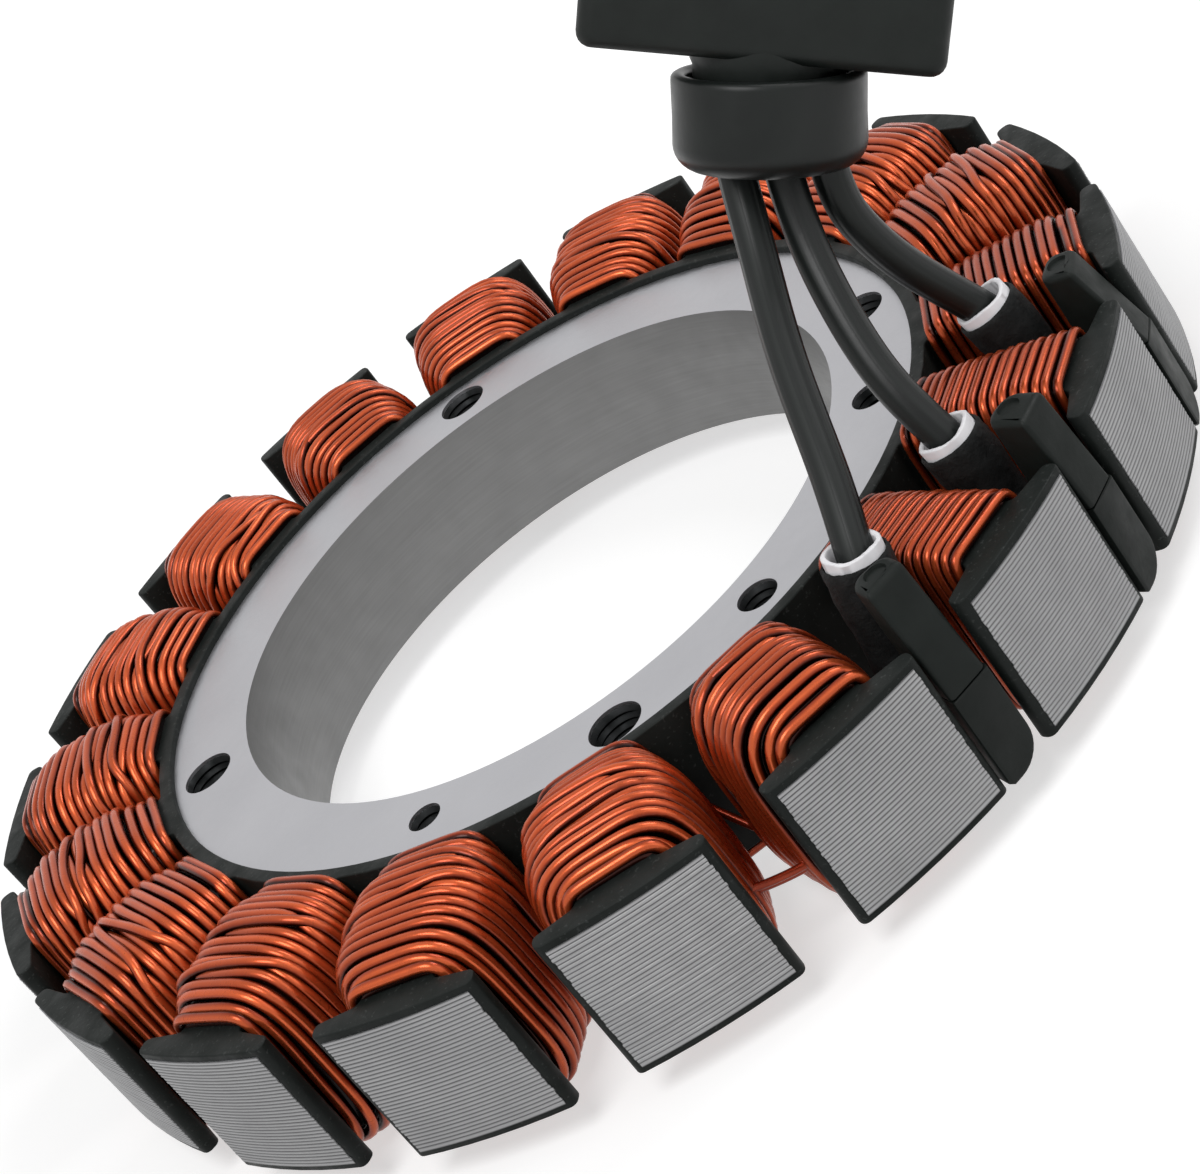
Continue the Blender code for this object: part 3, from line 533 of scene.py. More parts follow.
def make_core():
    """The stack with every sheet's edge on the tooth faces, bored and drilled."""
    rng = np.random.default_rng(11)
    outline, is_face = core_outline(0.0, OUTER_RADIUS, FACE_COLUMNS)
    base = np.array(outline)
    face = np.array(is_face)[:, None]
    radius = np.hypot(base[:, 0], base[:, 1])[:, None]
    out = base / radius
    around = np.stack([-out[:, 1], out[:, 0]], 1)
    height = (STACK_TOP - STACK_BASE) / SHEETS
    per_tooth = len(outline) // TOOTH_COUNT
    rows = []
    for sheet in range(SHEETS):
        low = STACK_BASE + sheet * height
        slide = rng.normal(0, SHEET_SLIDE, TOOTH_COUNT)
        push = rng.uniform(-SHEET_PUSH, 0.0, TOOTH_COUNT)
        slide, push = np.repeat(slide, per_tooth)[:, None], np.repeat(push, per_tooth)[:, None]
        moved = base + around * slide * face + out * push * face
        if sheet:
            rows.append((moved - out * SHEET_GROOVE * face, low))
        rows.append((moved, low + height * (SHEET_FLAT_START if sheet else 0.0)))
        rows.append((moved, low + height * (1 - SHEET_FLAT_START if sheet < SHEETS - 1 else 1.0)))
    work = bmesh.new()
    made_rows = [[work.verts.new((x, y, z)) for x, y in row] for row, z in rows]
    loops = [(made_rows[0], made_rows[-1])]
    for low, high in zip(made_rows, made_rows[1:]):
        wall(work, low, high)
    inner = [((0.0, 0.0), BORE_RADIUS, BORE_STEPS)] + hole_places()
    for (x, y), r, steps in inner:
        low, high = ([work.verts.new((x + cx, y + cy, z)) for cx, cy in circle(r, steps)]
                     for z in (STACK_BASE, STACK_TOP))
        wall(work, high, low)
        loops.append((low, high))
    for rings in zip(*loops):
        fill(work, rings)
    core = work_object("stator_core", work, STEEL, 30)
    core.data.materials.append(LAMINATED)
    core.data.materials.append(BORE_PAINTED_SHADE)
    for polygon in core.data.polygons:
        away = math.hypot(*polygon.center.xy)
        if away < BORE_RADIUS + 0.0001:
            polygon.material_index = 2
        if away > OUTER_RADIUS - 0.0012 and abs(polygon.normal.z) < 0.99:
            polygon.material_index = 1
    stands(core, "lamination_stack")


THREAD_PITCH, THREAD_DEPTH = 0.0008, 0.0003
THREAD_ROOT, THREAD_SKIN, THREAD_END = 0.00012, 0.00002, 0.0004


def make_threads():
    """Threads in the ring's holes, painted near black as the shade inside the holes, each a closed ring whose
    outer side is in the steel.
    """
    verts, faces = [], []
    turns = int((STACK_TOP - STACK_BASE) / THREAD_PITCH)
    for (x, y), radius, _ in hole_places():
        outer, skin = radius + THREAD_ROOT, radius - THREAD_SKIN
        profile = [(outer, STACK_BASE + 0.0002), (skin, STACK_BASE + 0.0003)]
        for k in range(turns):
            z = STACK_BASE + THREAD_END + k * (STACK_TOP - STACK_BASE - 2 * THREAD_END) / turns
            profile += [(skin, z), (radius - THREAD_DEPTH, z + THREAD_PITCH * 0.45)]
        profile += [(skin, STACK_TOP - 0.00035), (outer, STACK_TOP - 0.0002)]
        thread_verts, thread_faces = lathe(profile, 36, closed=True)
        append_part(verts, faces, [v + Vector((x, y, 0)) for v in thread_verts], thread_faces)
    stands(mesh_object("hole_threads", verts, faces, THREAD_PAINTED_SHADE, 20))


# The baked coat
COAT_FACE_DROP = 0.0001
COAT_EDGE_ROUND = 0.00016
COAT_CORNER_ROUND = 0.0007
COAT_FACE_COLUMNS = 6


def make_coat():
    outline, _ = core_outline(COAT, OUTER_RADIUS - COAT_FACE_DROP, COAT_FACE_COLUMNS)
    outline = fillet(outline, COAT_CORNER_ROUND)
    rim = circle(COAT_RIM_RADIUS, BORE_STEPS)
    bottom, top = STACK_BASE - COAT, STACK_TOP + COAT
    coat = plate("baked_coat", [outline, rim], bottom, top, COAT_EDGE_ROUND, COATED)
    stands(coat, "epoxy_coat")


# Wire coils
LOOP_SIDES = 8
QUARTER = 15
STATION_COUNT = 4 * QUARTER
PROFILE_STEPS = 60
BODY_STEPS = 16
BODY_DEPTH = 0.00165
COIL_LENGTH = COIL_END - COIL_START

# Thickness of winding on the sides and domes: at the start, full, and near a post or lead
SIDE_INNER, SIDE_FULL, SIDE_POST, SIDE_LEAD = 0.0021, 0.0038, 0.0016, 0.0009
DOME_INNER, DOME_FULL, DOME_FIRST, DOME_LEAD = 0.0010, 0.0024, 0.0029, 0.0014
START_BUILD, START_SHARE, START_POWER = 0.0009, 0.05, 1.5
END_BUILD, END_SHARE, END_POWER = 0.0008, 0.26, 1.7
FULL_AT = 0.35
LEANING_COILS = (2, 3)
LEAN = 0.0002

# A turn's boxiness, as the power of a superellipse, and how far its bends draw the stations together
LEAST_POWER, MOST_POWER = 3.6, 40
BEND_WEIGHT = 0.004
TURN = np.linspace(0, 2 * math.pi, STATION_COUNT, endpoint=False)

# A wire's thickness as seen, its least distance to the next, its pitch and how far it strays
LOOSE_WIRES = (0.00104, 0.00100, 0.00118, 0.00016)
NEAT_WIRES = (0.00092, 0.00092, 0.00101, 0.00008)
SWAY = 0.0003
OUTER_UNEVEN = 0.00007
UNDER_WIRES, UNDER_DEPTH = 14, 0.00074
UNDER_STRAY, UNDER_UNEVEN = 0.00015, 0.00008
CROSSING_WIRES, CROSSING_REACH = 2, 0.0015
CROSSING_LIFT, CROSSING_SINK = 0.0004, 0.0002
SPACING_PASSES, SPACING_SHARE = 26, 0.55
SMOOTHING_PASSES = 5

# The least slopes that a wire's painted highlight and shade sees at the two ends of a coil, over this many
# profile steps
START_SLOPE, START_SLOPE_STEPS = 0.9, 4
END_SLOPE, END_SLOPE_STEPS = -1.6, 6
# Painted shade: how much darker the layer under the outer wires is painted, and the crest value that paints
# the body inside fully dark
UNDER_SHADE, BODY_SHADE = 0.8, -2.0


def coil_sizes(number):
    """A coil's full thickness on its two sides and its domes, and its lean."""
    ccw_full, cw_full, dome_full = SIDE_FULL, SIDE_FULL, DOME_FULL
    if number == 1:
        ccw_full, dome_full = SIDE_POST, DOME_FIRST
    if number == 16:
        cw_full, dome_full = SIDE_LEAD, DOME_LEAD
    if number > 16:
        ccw_full, cw_full, dome_full = SIDE_POST, SIDE_LEAD, DOME_LEAD
    return ccw_full, cw_full, dome_full, LEAN if number in LEANING_COILS else 0.0


def builds(share, ccw_full, cw_full, dome_full, lean):
    """How far the turns stand off the tunnel: they fill up, then tuck in at the shoe."""
    grown = ease(share / FULL_AT)
    ccw, cw = (min(SIDE_INNER, full) + max(full - SIDE_INNER, 0) * grown for full in (ccw_full, cw_full))
    dome = min(DOME_INNER, dome_full) + max(dome_full - DOME_INNER, 0) * grown
    tucked = max((share - (1 - END_SHARE)) / END_SHARE, 0.0) ** END_POWER
    started = max(1 - share / START_SHARE, 0.0) ** START_POWER
    sizes = (ccw - lean, cw + lean, dome)
    return [size - max(size - END_BUILD, 0) * tucked - max(size - START_BUILD, 0) * started for size in sizes]


def quarter(reach_y, reach_z):
    """A quarter of one turn, from top to side, just boxy enough to clear the tunnel's corner."""
    clear_y, clear_z = TUNNEL_HALF, (TUNNEL_TOP - TUNNEL_BOTTOM) / 2
    power = LEAST_POWER
    while power < MOST_POWER and (clear_y / reach_y) ** power + (clear_z / reach_z) ** power > 1:
        power *= 1.03
    angle = np.linspace(0, math.pi / 2, 241)
    radius = ((np.sin(angle) / reach_y) ** power + (np.cos(angle) / reach_z) ** power) ** (-1 / power)
    y, z = radius * np.sin(angle), radius * np.cos(angle)
    out = np.stack([(y / reach_y) ** (power - 1) / reach_y, (z / reach_z) ** (power - 1) / reach_z], 1)
    out /= np.linalg.norm(out, axis=1)[:, None]
    heading = np.arctan2(out[:, 0], out[:, 1])
    steps = np.hypot(np.diff(y, prepend=y[0]), np.diff(z, prepend=z[0]))
    travelled = np.cumsum(steps + BEND_WEIGHT * np.abs(np.diff(heading, prepend=heading[0])))
    at = np.linspace(0, travelled[-1], QUARTER + 1)
    return np.stack([np.interp(at, travelled, column) for column in (y, z, out[:, 0], out[:, 1])], 1)


def section(ccw, cw, dome):
    """Points and outward directions round one turn, in the tooth's YZ plane."""
    middle = (TUNNEL_TOP + TUNNEL_BOTTOM) / 2
    high = (TUNNEL_TOP - TUNNEL_BOTTOM) / 2 + dome
    right, left = quarter(TUNNEL_HALF + ccw, high), quarter(TUNNEL_HALF + cw, high)
    loop = np.concatenate([right[:-1], (right * (1, -1, 1, -1))[:0:-1],
                           (left * (-1, -1, -1, -1))[:-1], (left * (-1, 1, -1, 1))[:0:-1]])
    return loop[:, :2] + (0, middle), loop[:, 2:]


def smooth_random(rng, amplitude, harmonics):
    """A random wave round one turn, which meets itself where it ends."""
    total = np.zeros(STATION_COUNT)
    for k in range(1, harmonics + 1):
        total += rng.normal(0, amplitude / k) * np.sin(k * TURN + rng.uniform(0, 2 * math.pi))
    return total


def spaced(along, depth, last, apart):
    """Push wires apart where they would share space, at every station at once."""
    for _ in range(SPACING_PASSES):
        dx = along[:, None, :] - along[None, :, :]
        dz = depth[:, None, :] - depth[None, :, :]
        gap = np.sqrt(dx ** 2 + dz ** 2) + 1e-9
        push = np.clip(apart - gap, 0, None) * 0.5
        push[np.diag_indices(len(along))] = 0
        along = along + (push * dx / gap).sum(1) * SPACING_SHARE
        depth = depth + (push * dz / gap).sum(1) * SPACING_SHARE
        along = np.clip(along, WIRE * 0.5, last)
        depth = np.minimum(depth, WIRE * 0.35)
    return along, depth


def wire_lines(rng, neat, last, apart, pitch, stray):
    """Each wire's way along the coil and its depth, at every station of its turn."""
    span = last - WIRE / 2
    outer = round(span / pitch) + 1
    along, depth = [], []
    sway = rng.normal(0, SWAY)
    for k in range(outer):
        share = k / (outer - 1)
        swayed = 4 * share * (1 - share) * sway * np.cos(TURN)
        along.append(WIRE / 2 + span * share + swayed + smooth_random(rng, stray, 3))
        depth.append(smooth_random(rng, OUTER_UNEVEN, 2))
    for k in range(UNDER_WIRES):
        middle = WIRE + span * (k + 0.2) / UNDER_WIRES
        along.append(middle + smooth_random(rng, UNDER_STRAY, 2))
        depth.append(-UNDER_DEPTH + smooth_random(rng, UNDER_UNEVEN, 2))
    for _ in range(0 if neat else CROSSING_WIRES):
        middle = span * rng.uniform(0.15, 0.75)
        where = rng.uniform(-0.6, 0.6)
        along.append(middle + CROSSING_REACH * rng.choice((-1, 1)) * np.sin(TURN - where))
        depth.append(CROSSING_LIFT * np.cos(TURN - where) - CROSSING_SINK)
    along, depth = spaced(np.array(along), np.array(depth), last, apart)
    for _ in range(SMOOTHING_PASSES):
        along, depth = ((np.roll(a, 1, 1) + 2 * a + np.roll(a, -1, 1)) / 4 for a in (along, depth))
    return along, depth


def winding_surface(shares, sizes):
    """Where a wire's centre lies at each share and station, which way is out, and the slope there."""
    sections = [section(*(build - WIRE / 2 for build in builds(share, *sizes))) for share in shares]
    places, outs = (np.array(column) for column in zip(*sections))
    slopes = (np.gradient(places, COIL_LENGTH / PROFILE_STEPS, axis=0) * outs).sum(2)
    slopes[-END_SLOPE_STEPS:] = np.minimum(slopes[-END_SLOPE_STEPS:], END_SLOPE)
    slopes[:START_SLOPE_STEPS] = np.maximum(slopes[:START_SLOPE_STEPS], START_SLOPE)
    return places, outs, slopes


def make_coil(number):
    """Wires side by side, a layer under them, a few that cross, and a body inside; the under layer and the
    body carry painted shade, and each wire a painted highlight along its crest.
    """
    rng = np.random.default_rng(100 + number)
    sizes = coil_sizes(number)
    dome_full = sizes[2]
    neat = dome_full == DOME_LEAD
    seen, apart, pitch, stray = NEAT_WIRES if neat else LOOSE_WIRES
    shares = np.linspace(0, 1, PROFILE_STEPS + 1)
    heights = [np.mean(builds(share, *sizes)) for share in shares]
    travelled = np.append(0.0, np.cumsum(np.hypot(np.diff(shares) * COIL_LENGTH, np.diff(heights))))
    lines = wire_lines(rng, neat, travelled[-1] - WIRE * 0.45, apart, pitch, stray)
    places, outs, slopes = winding_surface(shares, sizes)
    rest_low = TUNNEL_BOTTOM - dome_full + WIRE / 2
    stations = np.arange(STATION_COUNT)
    verts, faces, tones, crest_highlights_and_shades = [], [], [], []
    for line, sink in zip(*lines):
        share = np.interp(line, travelled, shares) * PROFILE_STEPS
        low = np.minimum(share.astype(int), PROFILE_STEPS - 1)
        part = (share - low)[:, None]
        out, slope = outs[low, stations], slopes[low, stations]
        place = places[low, stations] * (1 - part) + places[low + 1, stations] * part + out * sink[:, None]
        place[:, 1] = np.maximum(place[:, 1], rest_low)
        reach = COIL_START + share / PROFILE_STEPS * COIL_LENGTH
        points = [Vector((reach[j], place[j, 0], place[j, 1])) for j in range(STATION_COUNT)]
        tube_verts, tube_faces = sweep(points, seen / 2, LOOP_SIDES, True, Vector((1, 0, 0)))
        append_part(verts, faces, tube_verts, tube_faces)
        tones += [rng.uniform(0, 1)] * len(tube_verts)
        # Painted shade: the wires of the layer underneath are painted darker
        deep = UNDER_SHADE if sink.mean() < -0.0005 else 0.0
        for k, vert in enumerate(tube_verts):
            j = k // LOOP_SIDES
            away = vert - points[j]
            facing = away.y * out[j, 0] + away.z * out[j, 1] - away.x * slope[j]
            crest_highlights_and_shades.append(facing / math.hypot(1, slope[j]) / (WIRE / 2) - deep)

    def body_ring(share):
        ring, _ = section(*(max(build - BODY_DEPTH, 0.0001) for build in builds(share, *sizes)))
        x = COIL_START + (COIL_LENGTH - WIRE / 2) * share
        return [(x, y, z) for y, z in ring]

    body_verts, body_faces = loft(body_ring, [(k / BODY_STEPS,) for k in range(BODY_STEPS + 1)])
    append_part(verts, faces, body_verts, body_faces)
    tones += [0.0] * len(body_verts)
    # Painted shade: the body inside is painted fully dark
    crest_highlights_and_shades += [BODY_SHADE] * len(body_verts)
    coil = mesh_object(f"wire_coil_{number:02d}", verts, faces, COPPER, 60)
    for name, values in (("tone", tones), ("crest_highlight_and_shade", crest_highlights_and_shades)):
        coil.data.attributes.new(name, "FLOAT", "POINT").data.foreach_set("value", values)
    stands(coil, f"coil_{number:02d}", tooth_matrix(number))


# Slot wedges with their posts
LEAD_TEETH = (17, 18, 1)
WEDGE_DEPTH = 0.0066
WEDGE_INNER = OUTER_RADIUS - WEDGE_DEPTH
NEAR_SIDE = SHOE_HALF_WIDTH + COAT + CLEARANCE
FAR_SIDE = NEAR_SIDE + 0.0041
LOWER_FAR_SIDE = FAR_SIDE + 0.0002
WEDGE_SEAM = STACK_BASE + 0.0090
SEAM_HALF_GAP, SEAM_EDGE = 0.00006, 0.0001
WEDGE_FOOT = STACK_BASE - 0.0008
WEDGE_FOOT_ROUND = 0.0030
WEDGE_FOOT_EDGE = 0.0004
BLOCK_EDGE, BLOCK_EDGE_MIDDLE = 0.0003, 0.00008
POST_RISES = (0.0043, 0.0048, 0.0060)
POST_LEANS = (0.0028, 0.0015, 0.0026)
POST_CORNER_ROUND, POST_TOP_ROUND = 0.0017, 0.0006
MARK_RADIUS, MARK_TAPER, MARK_DEPTH = 0.00105, 0.0001, 0.00025
MARK_PLACE = (WEDGE_INNER + 0.0016, (NEAR_SIDE + FAR_SIDE) / 2 + 0.0001)


def inward(outline, inset):
    """An outline moved inwards along its corner directions."""
    moved = []
    count = len(outline)
    middle = Vector((sum(p[0] for p in outline) / count, sum(p[1] for p in outline) / count))
    for k, p in enumerate(outline):
        a, b = Vector(outline[k - 1]), Vector(outline[(k + 1) % count])
        along = (b - a).normalized()
        normal = Vector((-along.y, along.x))
        if normal.dot(middle - Vector(p)) < 0:
            normal = -normal
        moved.append(Vector(p) + normal * inset)
    return moved


def rounded_levels(low, high, round_low, round_high, steps=4):
    """(inset, height) pairs that round a lofted piece's lower and upper edges."""
    turns = [math.pi / 2 * k / steps for k in range(steps + 1)]
    levels = [(round_low * (1 - math.sin(t)), low + round_low * (1 - math.cos(t))) for t in turns]
    levels += [(round_high * (1 - math.cos(t)), high - round_high * (1 - math.sin(t))) for t in turns]
    return levels


def make_post(index):
    """A wedge's upper half, which leans back as it rises, with a round ejector mark sunk in its top."""
    foot = WEDGE_SEAM + SEAM_HALF_GAP
    top = STACK_TOP + POST_RISES[index]

    def plan(inset, z):
        lean = POST_LEANS[index] * (z - foot) / (top - foot)
        across = np.linspace(NEAR_SIDE, FAR_SIDE, 5)
        rim = [(math.sqrt(OUTER_RADIUS ** 2 - y * y) - lean, y) for y in across]
        outline = [(WEDGE_INNER, FAR_SIDE), (WEDGE_INNER, NEAR_SIDE)] + rim
        return [(*p, z) for p in inward(fillet(outline, POST_CORNER_ROUND, 7, 60), inset)]

    levels = [(SEAM_EDGE, foot), (0.0, foot + SEAM_EDGE)]
    levels += rounded_levels(foot + 2 * SEAM_EDGE, top, 0.0, POST_TOP_ROUND)
    work = bmesh.new()
    rings = [[work.verts.new(p) for p in plan(*level)] for level in levels]
    circles = []
    for radius, z in ((MARK_RADIUS, top), (MARK_RADIUS - MARK_TAPER, top - MARK_DEPTH)):
        circles.append([work.verts.new((x, y, z)) for x, y in circle(radius, 36, MARK_PLACE)])
    for low, high in list(zip(rings, rings[1:])) + [circles]:
        wall(work, low, high)
    work.faces.new(rings[0])
    work.faces.new(circles[1])
    fill(work, (rings[-1], circles[0]))
    post = work_object(f"post_{index + 1}", work, MOULDED)
    stands(post, f"terminal_post_{index + 1}", tooth_matrix(LEAD_TEETH[index]))


def make_block(index):
    """A wedge's lower half, drawn along the radius."""
    top = WEDGE_SEAM - SEAM_HALF_GAP
    profile = [(NEAR_SIDE, top), (LOWER_FAR_SIDE, top)]
    for t in np.linspace(0, math.pi / 2, 9):
        y = LOWER_FAR_SIDE - WEDGE_FOOT_ROUND + WEDGE_FOOT_ROUND * math.cos(t)
        profile.append((y, WEDGE_FOOT + WEDGE_FOOT_ROUND - WEDGE_FOOT_ROUND * math.sin(t)))
    profile += [(NEAR_SIDE + WEDGE_FOOT_EDGE, WEDGE_FOOT), (NEAR_SIDE, WEDGE_FOOT + WEDGE_FOOT_EDGE)]

    def ring(at_rim, inset, depth):
        return [(math.sqrt(OUTER_RADIUS ** 2 - y * y) - depth if at_rim else WEDGE_INNER + depth, y, z)
                for y, z in inward(profile, inset)]

    levels = [(False, BLOCK_EDGE, 0.0), (False, 0.0, BLOCK_EDGE), (True, 0.0, BLOCK_EDGE),
              (True, BLOCK_EDGE_MIDDLE, BLOCK_EDGE_MIDDLE), (True, BLOCK_EDGE, 0.0)]
    block = mesh_object(f"slot_filler_{index + 1}", *loft(ring, levels), MOULDED)
    stands(block, f"slot_block_{index + 1}", tooth_matrix(LEAD_TEETH[index]))


# Sleeves, leads and plug
LEAD = 0.0033
LEAD_SIDES = 36
LEAD_ENDS = (-0.0042, -0.0015)
LEAD_ROW_SHIFT, LEAD_SPACING = 0.0006, 0.0039
SLEEVE_MOUTHS = ((0.0124, -0.0006, 0.0042), (0.0118, -0.0005, 0.0038), (0.0102, 0.0021, 0.0061))
SLEEVE_FOOT_X = OUTER_RADIUS - 0.0103
SLEEVE_FOOT_SHIFT = -0.0004
SLEEVE_FOOT_DEPTH = 0.0060
SLEEVE_RADII = (0.0030, 0.0025)
SLEEVE_RIM, SLEEVE_WALL, SLEEVE_STEPS = 0.0010, 0.0003, 16
INNER_SLEEVE = (0.0026, 0.0021, 0.0028)
INNER_SLEEVE_LIP, INNER_SLEEVE_WAVE = 0.0001, 0.00012
LEAD_ROUTES = (
    ((0.0141, -0.0457, 0.0291), (0.0130, -0.0450, 0.0346), (0.0128, -0.0448, 0.0378)),
    ((0.0008, -0.0491, 0.0247), (0.0027, -0.0467, 0.0287), (0.0060, -0.0443, 0.0339),
     (0.0090, -0.0427, 0.0380)),
    ((-0.0117, -0.0490, 0.0269), (-0.0066, -0.0461, 0.0308), (-0.0009, -0.0431, 0.0351),
     (0.0060, -0.0403, 0.0398)),
)
PLUG_BASE = (0.0115, 0.0209 - OUTER_RADIUS, STACK_BASE + 0.0396)
PLUG_TURNS = (("Z", -32.2), ("Y", 33.6), ("Z", -27.0))
COLLAR_RADIUS, COLLAR_HEIGHT = 0.0082, 0.0082
COLLAR_FLOOR, COLLAR_WALL = 0.0045, 0.0013
COLLAR_LIP, COLLAR_FOOT_ROUND = 0.0005, 0.0023
NECK_RADIUS, NECK_STEP, NECK_FOOT = 0.00635, 0.0002, 0.0048
NECK_TOP = COLLAR_HEIGHT + 0.0013
NECK_IN_BODY = 0.0020
BODY_SKEW = 6.6
BODY_SIZE = (0.0303, 0.0132, 0.0091)
BODY_SHIFT = -0.0006
BODY_ROUND = 0.0016
SOCKET = (0.0055, 0.0016)
PIN_SPACING = 0.0080
PIN_RADIUS = 0.0012
PIN_ROOT, PIN_LENGTH = 0.0030, 0.0070


def sleeve_frame(index):
    """The frame at a sleeve's mouth, pointing out along it, and the sleeve's length."""
    inset, shift, rise = SLEEVE_MOUTHS[index]
    near = TUNNEL_HALF + SIDE_POST
    following = SLEEVE_FOOT_X * math.tan(PITCH) - (TUNNEL_HALF + SIDE_LEAD) / math.cos(PITCH)
    foot_y = (near + following) / 2 + SLEEVE_FOOT_SHIFT
    foot = Vector((SLEEVE_FOOT_X, foot_y, STACK_TOP - SLEEVE_FOOT_DEPTH))
    mouth = Vector((OUTER_RADIUS - inset, foot_y + shift, STACK_TOP + rise))
    turn = (mouth - foot).normalized().to_track_quat("Z", "X").to_matrix().to_4x4()
    return tooth_matrix(LEAD_TEETH[index]) @ Matrix.Translation(mouth) @ turn, (mouth - foot).length


def plug_frame():
    """The frame at the middle of the collar's foot, pointing up into the plug."""
    turn = Matrix.Identity(4)
    for axis, degrees in PLUG_TURNS:
        turn = turn @ Matrix.Rotation(math.radians(degrees), 4, axis)
    return Matrix.Translation(PLUG_BASE) @ turn


def rough(verts, amount, rng):
    """Small random moves away from the Z axis, for a rough surface."""
    for v in verts:
        away = Vector((v.x, v.y, 0))
        if away.length > 1e-5:
            v += away.normalized() * rng.normal(0, amount)
    return verts


def make_sleeves():
    """A varnished sleeve over each joint, and the white one inside it, whose rim stands out."""
    rng = np.random.default_rng(7)
    wide, narrow = SLEEVE_RADII
    big, bore, deep = INNER_SLEEVE
    lip = INNER_SLEEVE_LIP
    for index in range(len(LEAD_TEETH)):
        place, length = sleeve_frame(index)
        profile = [(wide - 0.0002, -0.0007), (wide, -SLEEVE_RIM)]
        for k in range(1, SLEEVE_STEPS + 1):
            radius = wide + (narrow - wide) * ease((k - 4) / 8)
            profile.append((radius, -SLEEVE_RIM - (length - SLEEVE_RIM) * k / SLEEVE_STEPS))
        profile += [(narrow - SLEEVE_WALL, -length), (narrow - SLEEVE_WALL, -length + 0.002)]
        profile += [(wide - SLEEVE_WALL, -0.0030), (wide - SLEEVE_WALL, -0.0008)]
        verts, faces = lathe(profile, 44, closed=True)
        outer = mesh_object(f"sleeve_{index + 1}", rough(verts, 0.00003, rng), faces, SLEEVE, 50)
        stands(outer, f"splice_sleeve_{index + 1}", place)
        profile = [(big - lip, lip), (big, 0.0), (big, -deep), (bore, -deep), (bore, 0.0), (bore + lip, lip)]
        verts, faces = lathe(profile, 48, closed=True)
        for v in verts:
            if v.z > -0.001:
                v.z += INNER_SLEEVE_WAVE * math.sin(3 * math.atan2(v.y, v.x) + index)
        inner = mesh_object(f"white_sleeve_{index + 1}", rough(verts, 0.00002, rng), faces, WHITE, 50)
        stands(inner, f"inner_sleeve_{index + 1}", place)


def spline(points, steps):
    """A smooth curve through the points, relaxed so that its bends are even."""
    ends = [2 * points[0] - points[1], *points, 2 * points[-1] - points[-2]]
    route = []
    for k in range(1, len(ends) - 2):
        a, b, c, d = ends[k - 1:k + 3]
        for step in range(steps):
            t = step / steps
            bend = (2 * a - 5 * b + 4 * c - d) * t ** 2 + (3 * b - a - 3 * c + d) * t ** 3
            route.append((2 * b + (c - a) * t + bend) / 2)
    route.append(points[-1])
    for _ in range(60):
        inside = [(a + 2 * b + c) / 4 for a, b, c in zip(route, route[1:], route[2:])]
        route = [route[0], *inside, route[-1]]
    return route


def make_leads():
    rng = np.random.default_rng(23)
    plug = plug_frame()
    for index, middle in enumerate(LEAD_ROUTES):
        sleeve, _ = sleeve_frame(index)
        start = [sleeve @ Vector((0, 0, z)) for z in LEAD_ENDS]
        x = LEAD_ROW_SHIFT + LEAD_SPACING * (1 - index)
        end = [plug @ Vector((x, 0, z)) for z in (0.0010, COLLAR_FLOOR)]
        route = spline(start + [Vector(p) for p in middle] + end, 12)
        verts, faces = sweep(route, LEAD / 2, LEAD_SIDES)
        lead = mesh_object(f"lead_wire_{index + 1}", verts, faces, RUBBER, 50)
        streaks = np.tile(rng.uniform(0, 1, LEAD_SIDES), len(route)).astype(np.float32)
        lead.data.attributes.new("streak", "FLOAT", "POINT").data.foreach_set("value", streaks)
        stands(lead, f"lead_{index + 1}")


def make_collar():
    """A turned cup with a round foot and a rounded lip."""
    radius, foot, lip = COLLAR_RADIUS, COLLAR_FOOT_ROUND, COLLAR_LIP
    cavity, shoulder = radius - COLLAR_WALL, COLLAR_HEIGHT - lip
    profile = [(0, COLLAR_FLOOR), (cavity, COLLAR_FLOOR), (cavity, shoulder)]
    middle, half = (radius + cavity) / 2, (radius - cavity) / 2
    for t in np.linspace(0.3, math.pi - 0.3, 7):
        profile.append((middle - half * math.cos(t), shoulder + lip * math.sin(t)))
    profile += [(radius, shoulder - 0.0002), (radius - 0.00005, COLLAR_HEIGHT * 0.55)]
    for t in np.linspace(0, math.pi / 2, 9):
        profile.append((radius - foot + foot * math.cos(t), foot - foot * math.sin(t)))
    profile.append((0, 0))
    collar = mesh_object("collar", *lathe(profile, 96), SEAL, 50)
    stands(collar, "seal_collar", plug_frame())


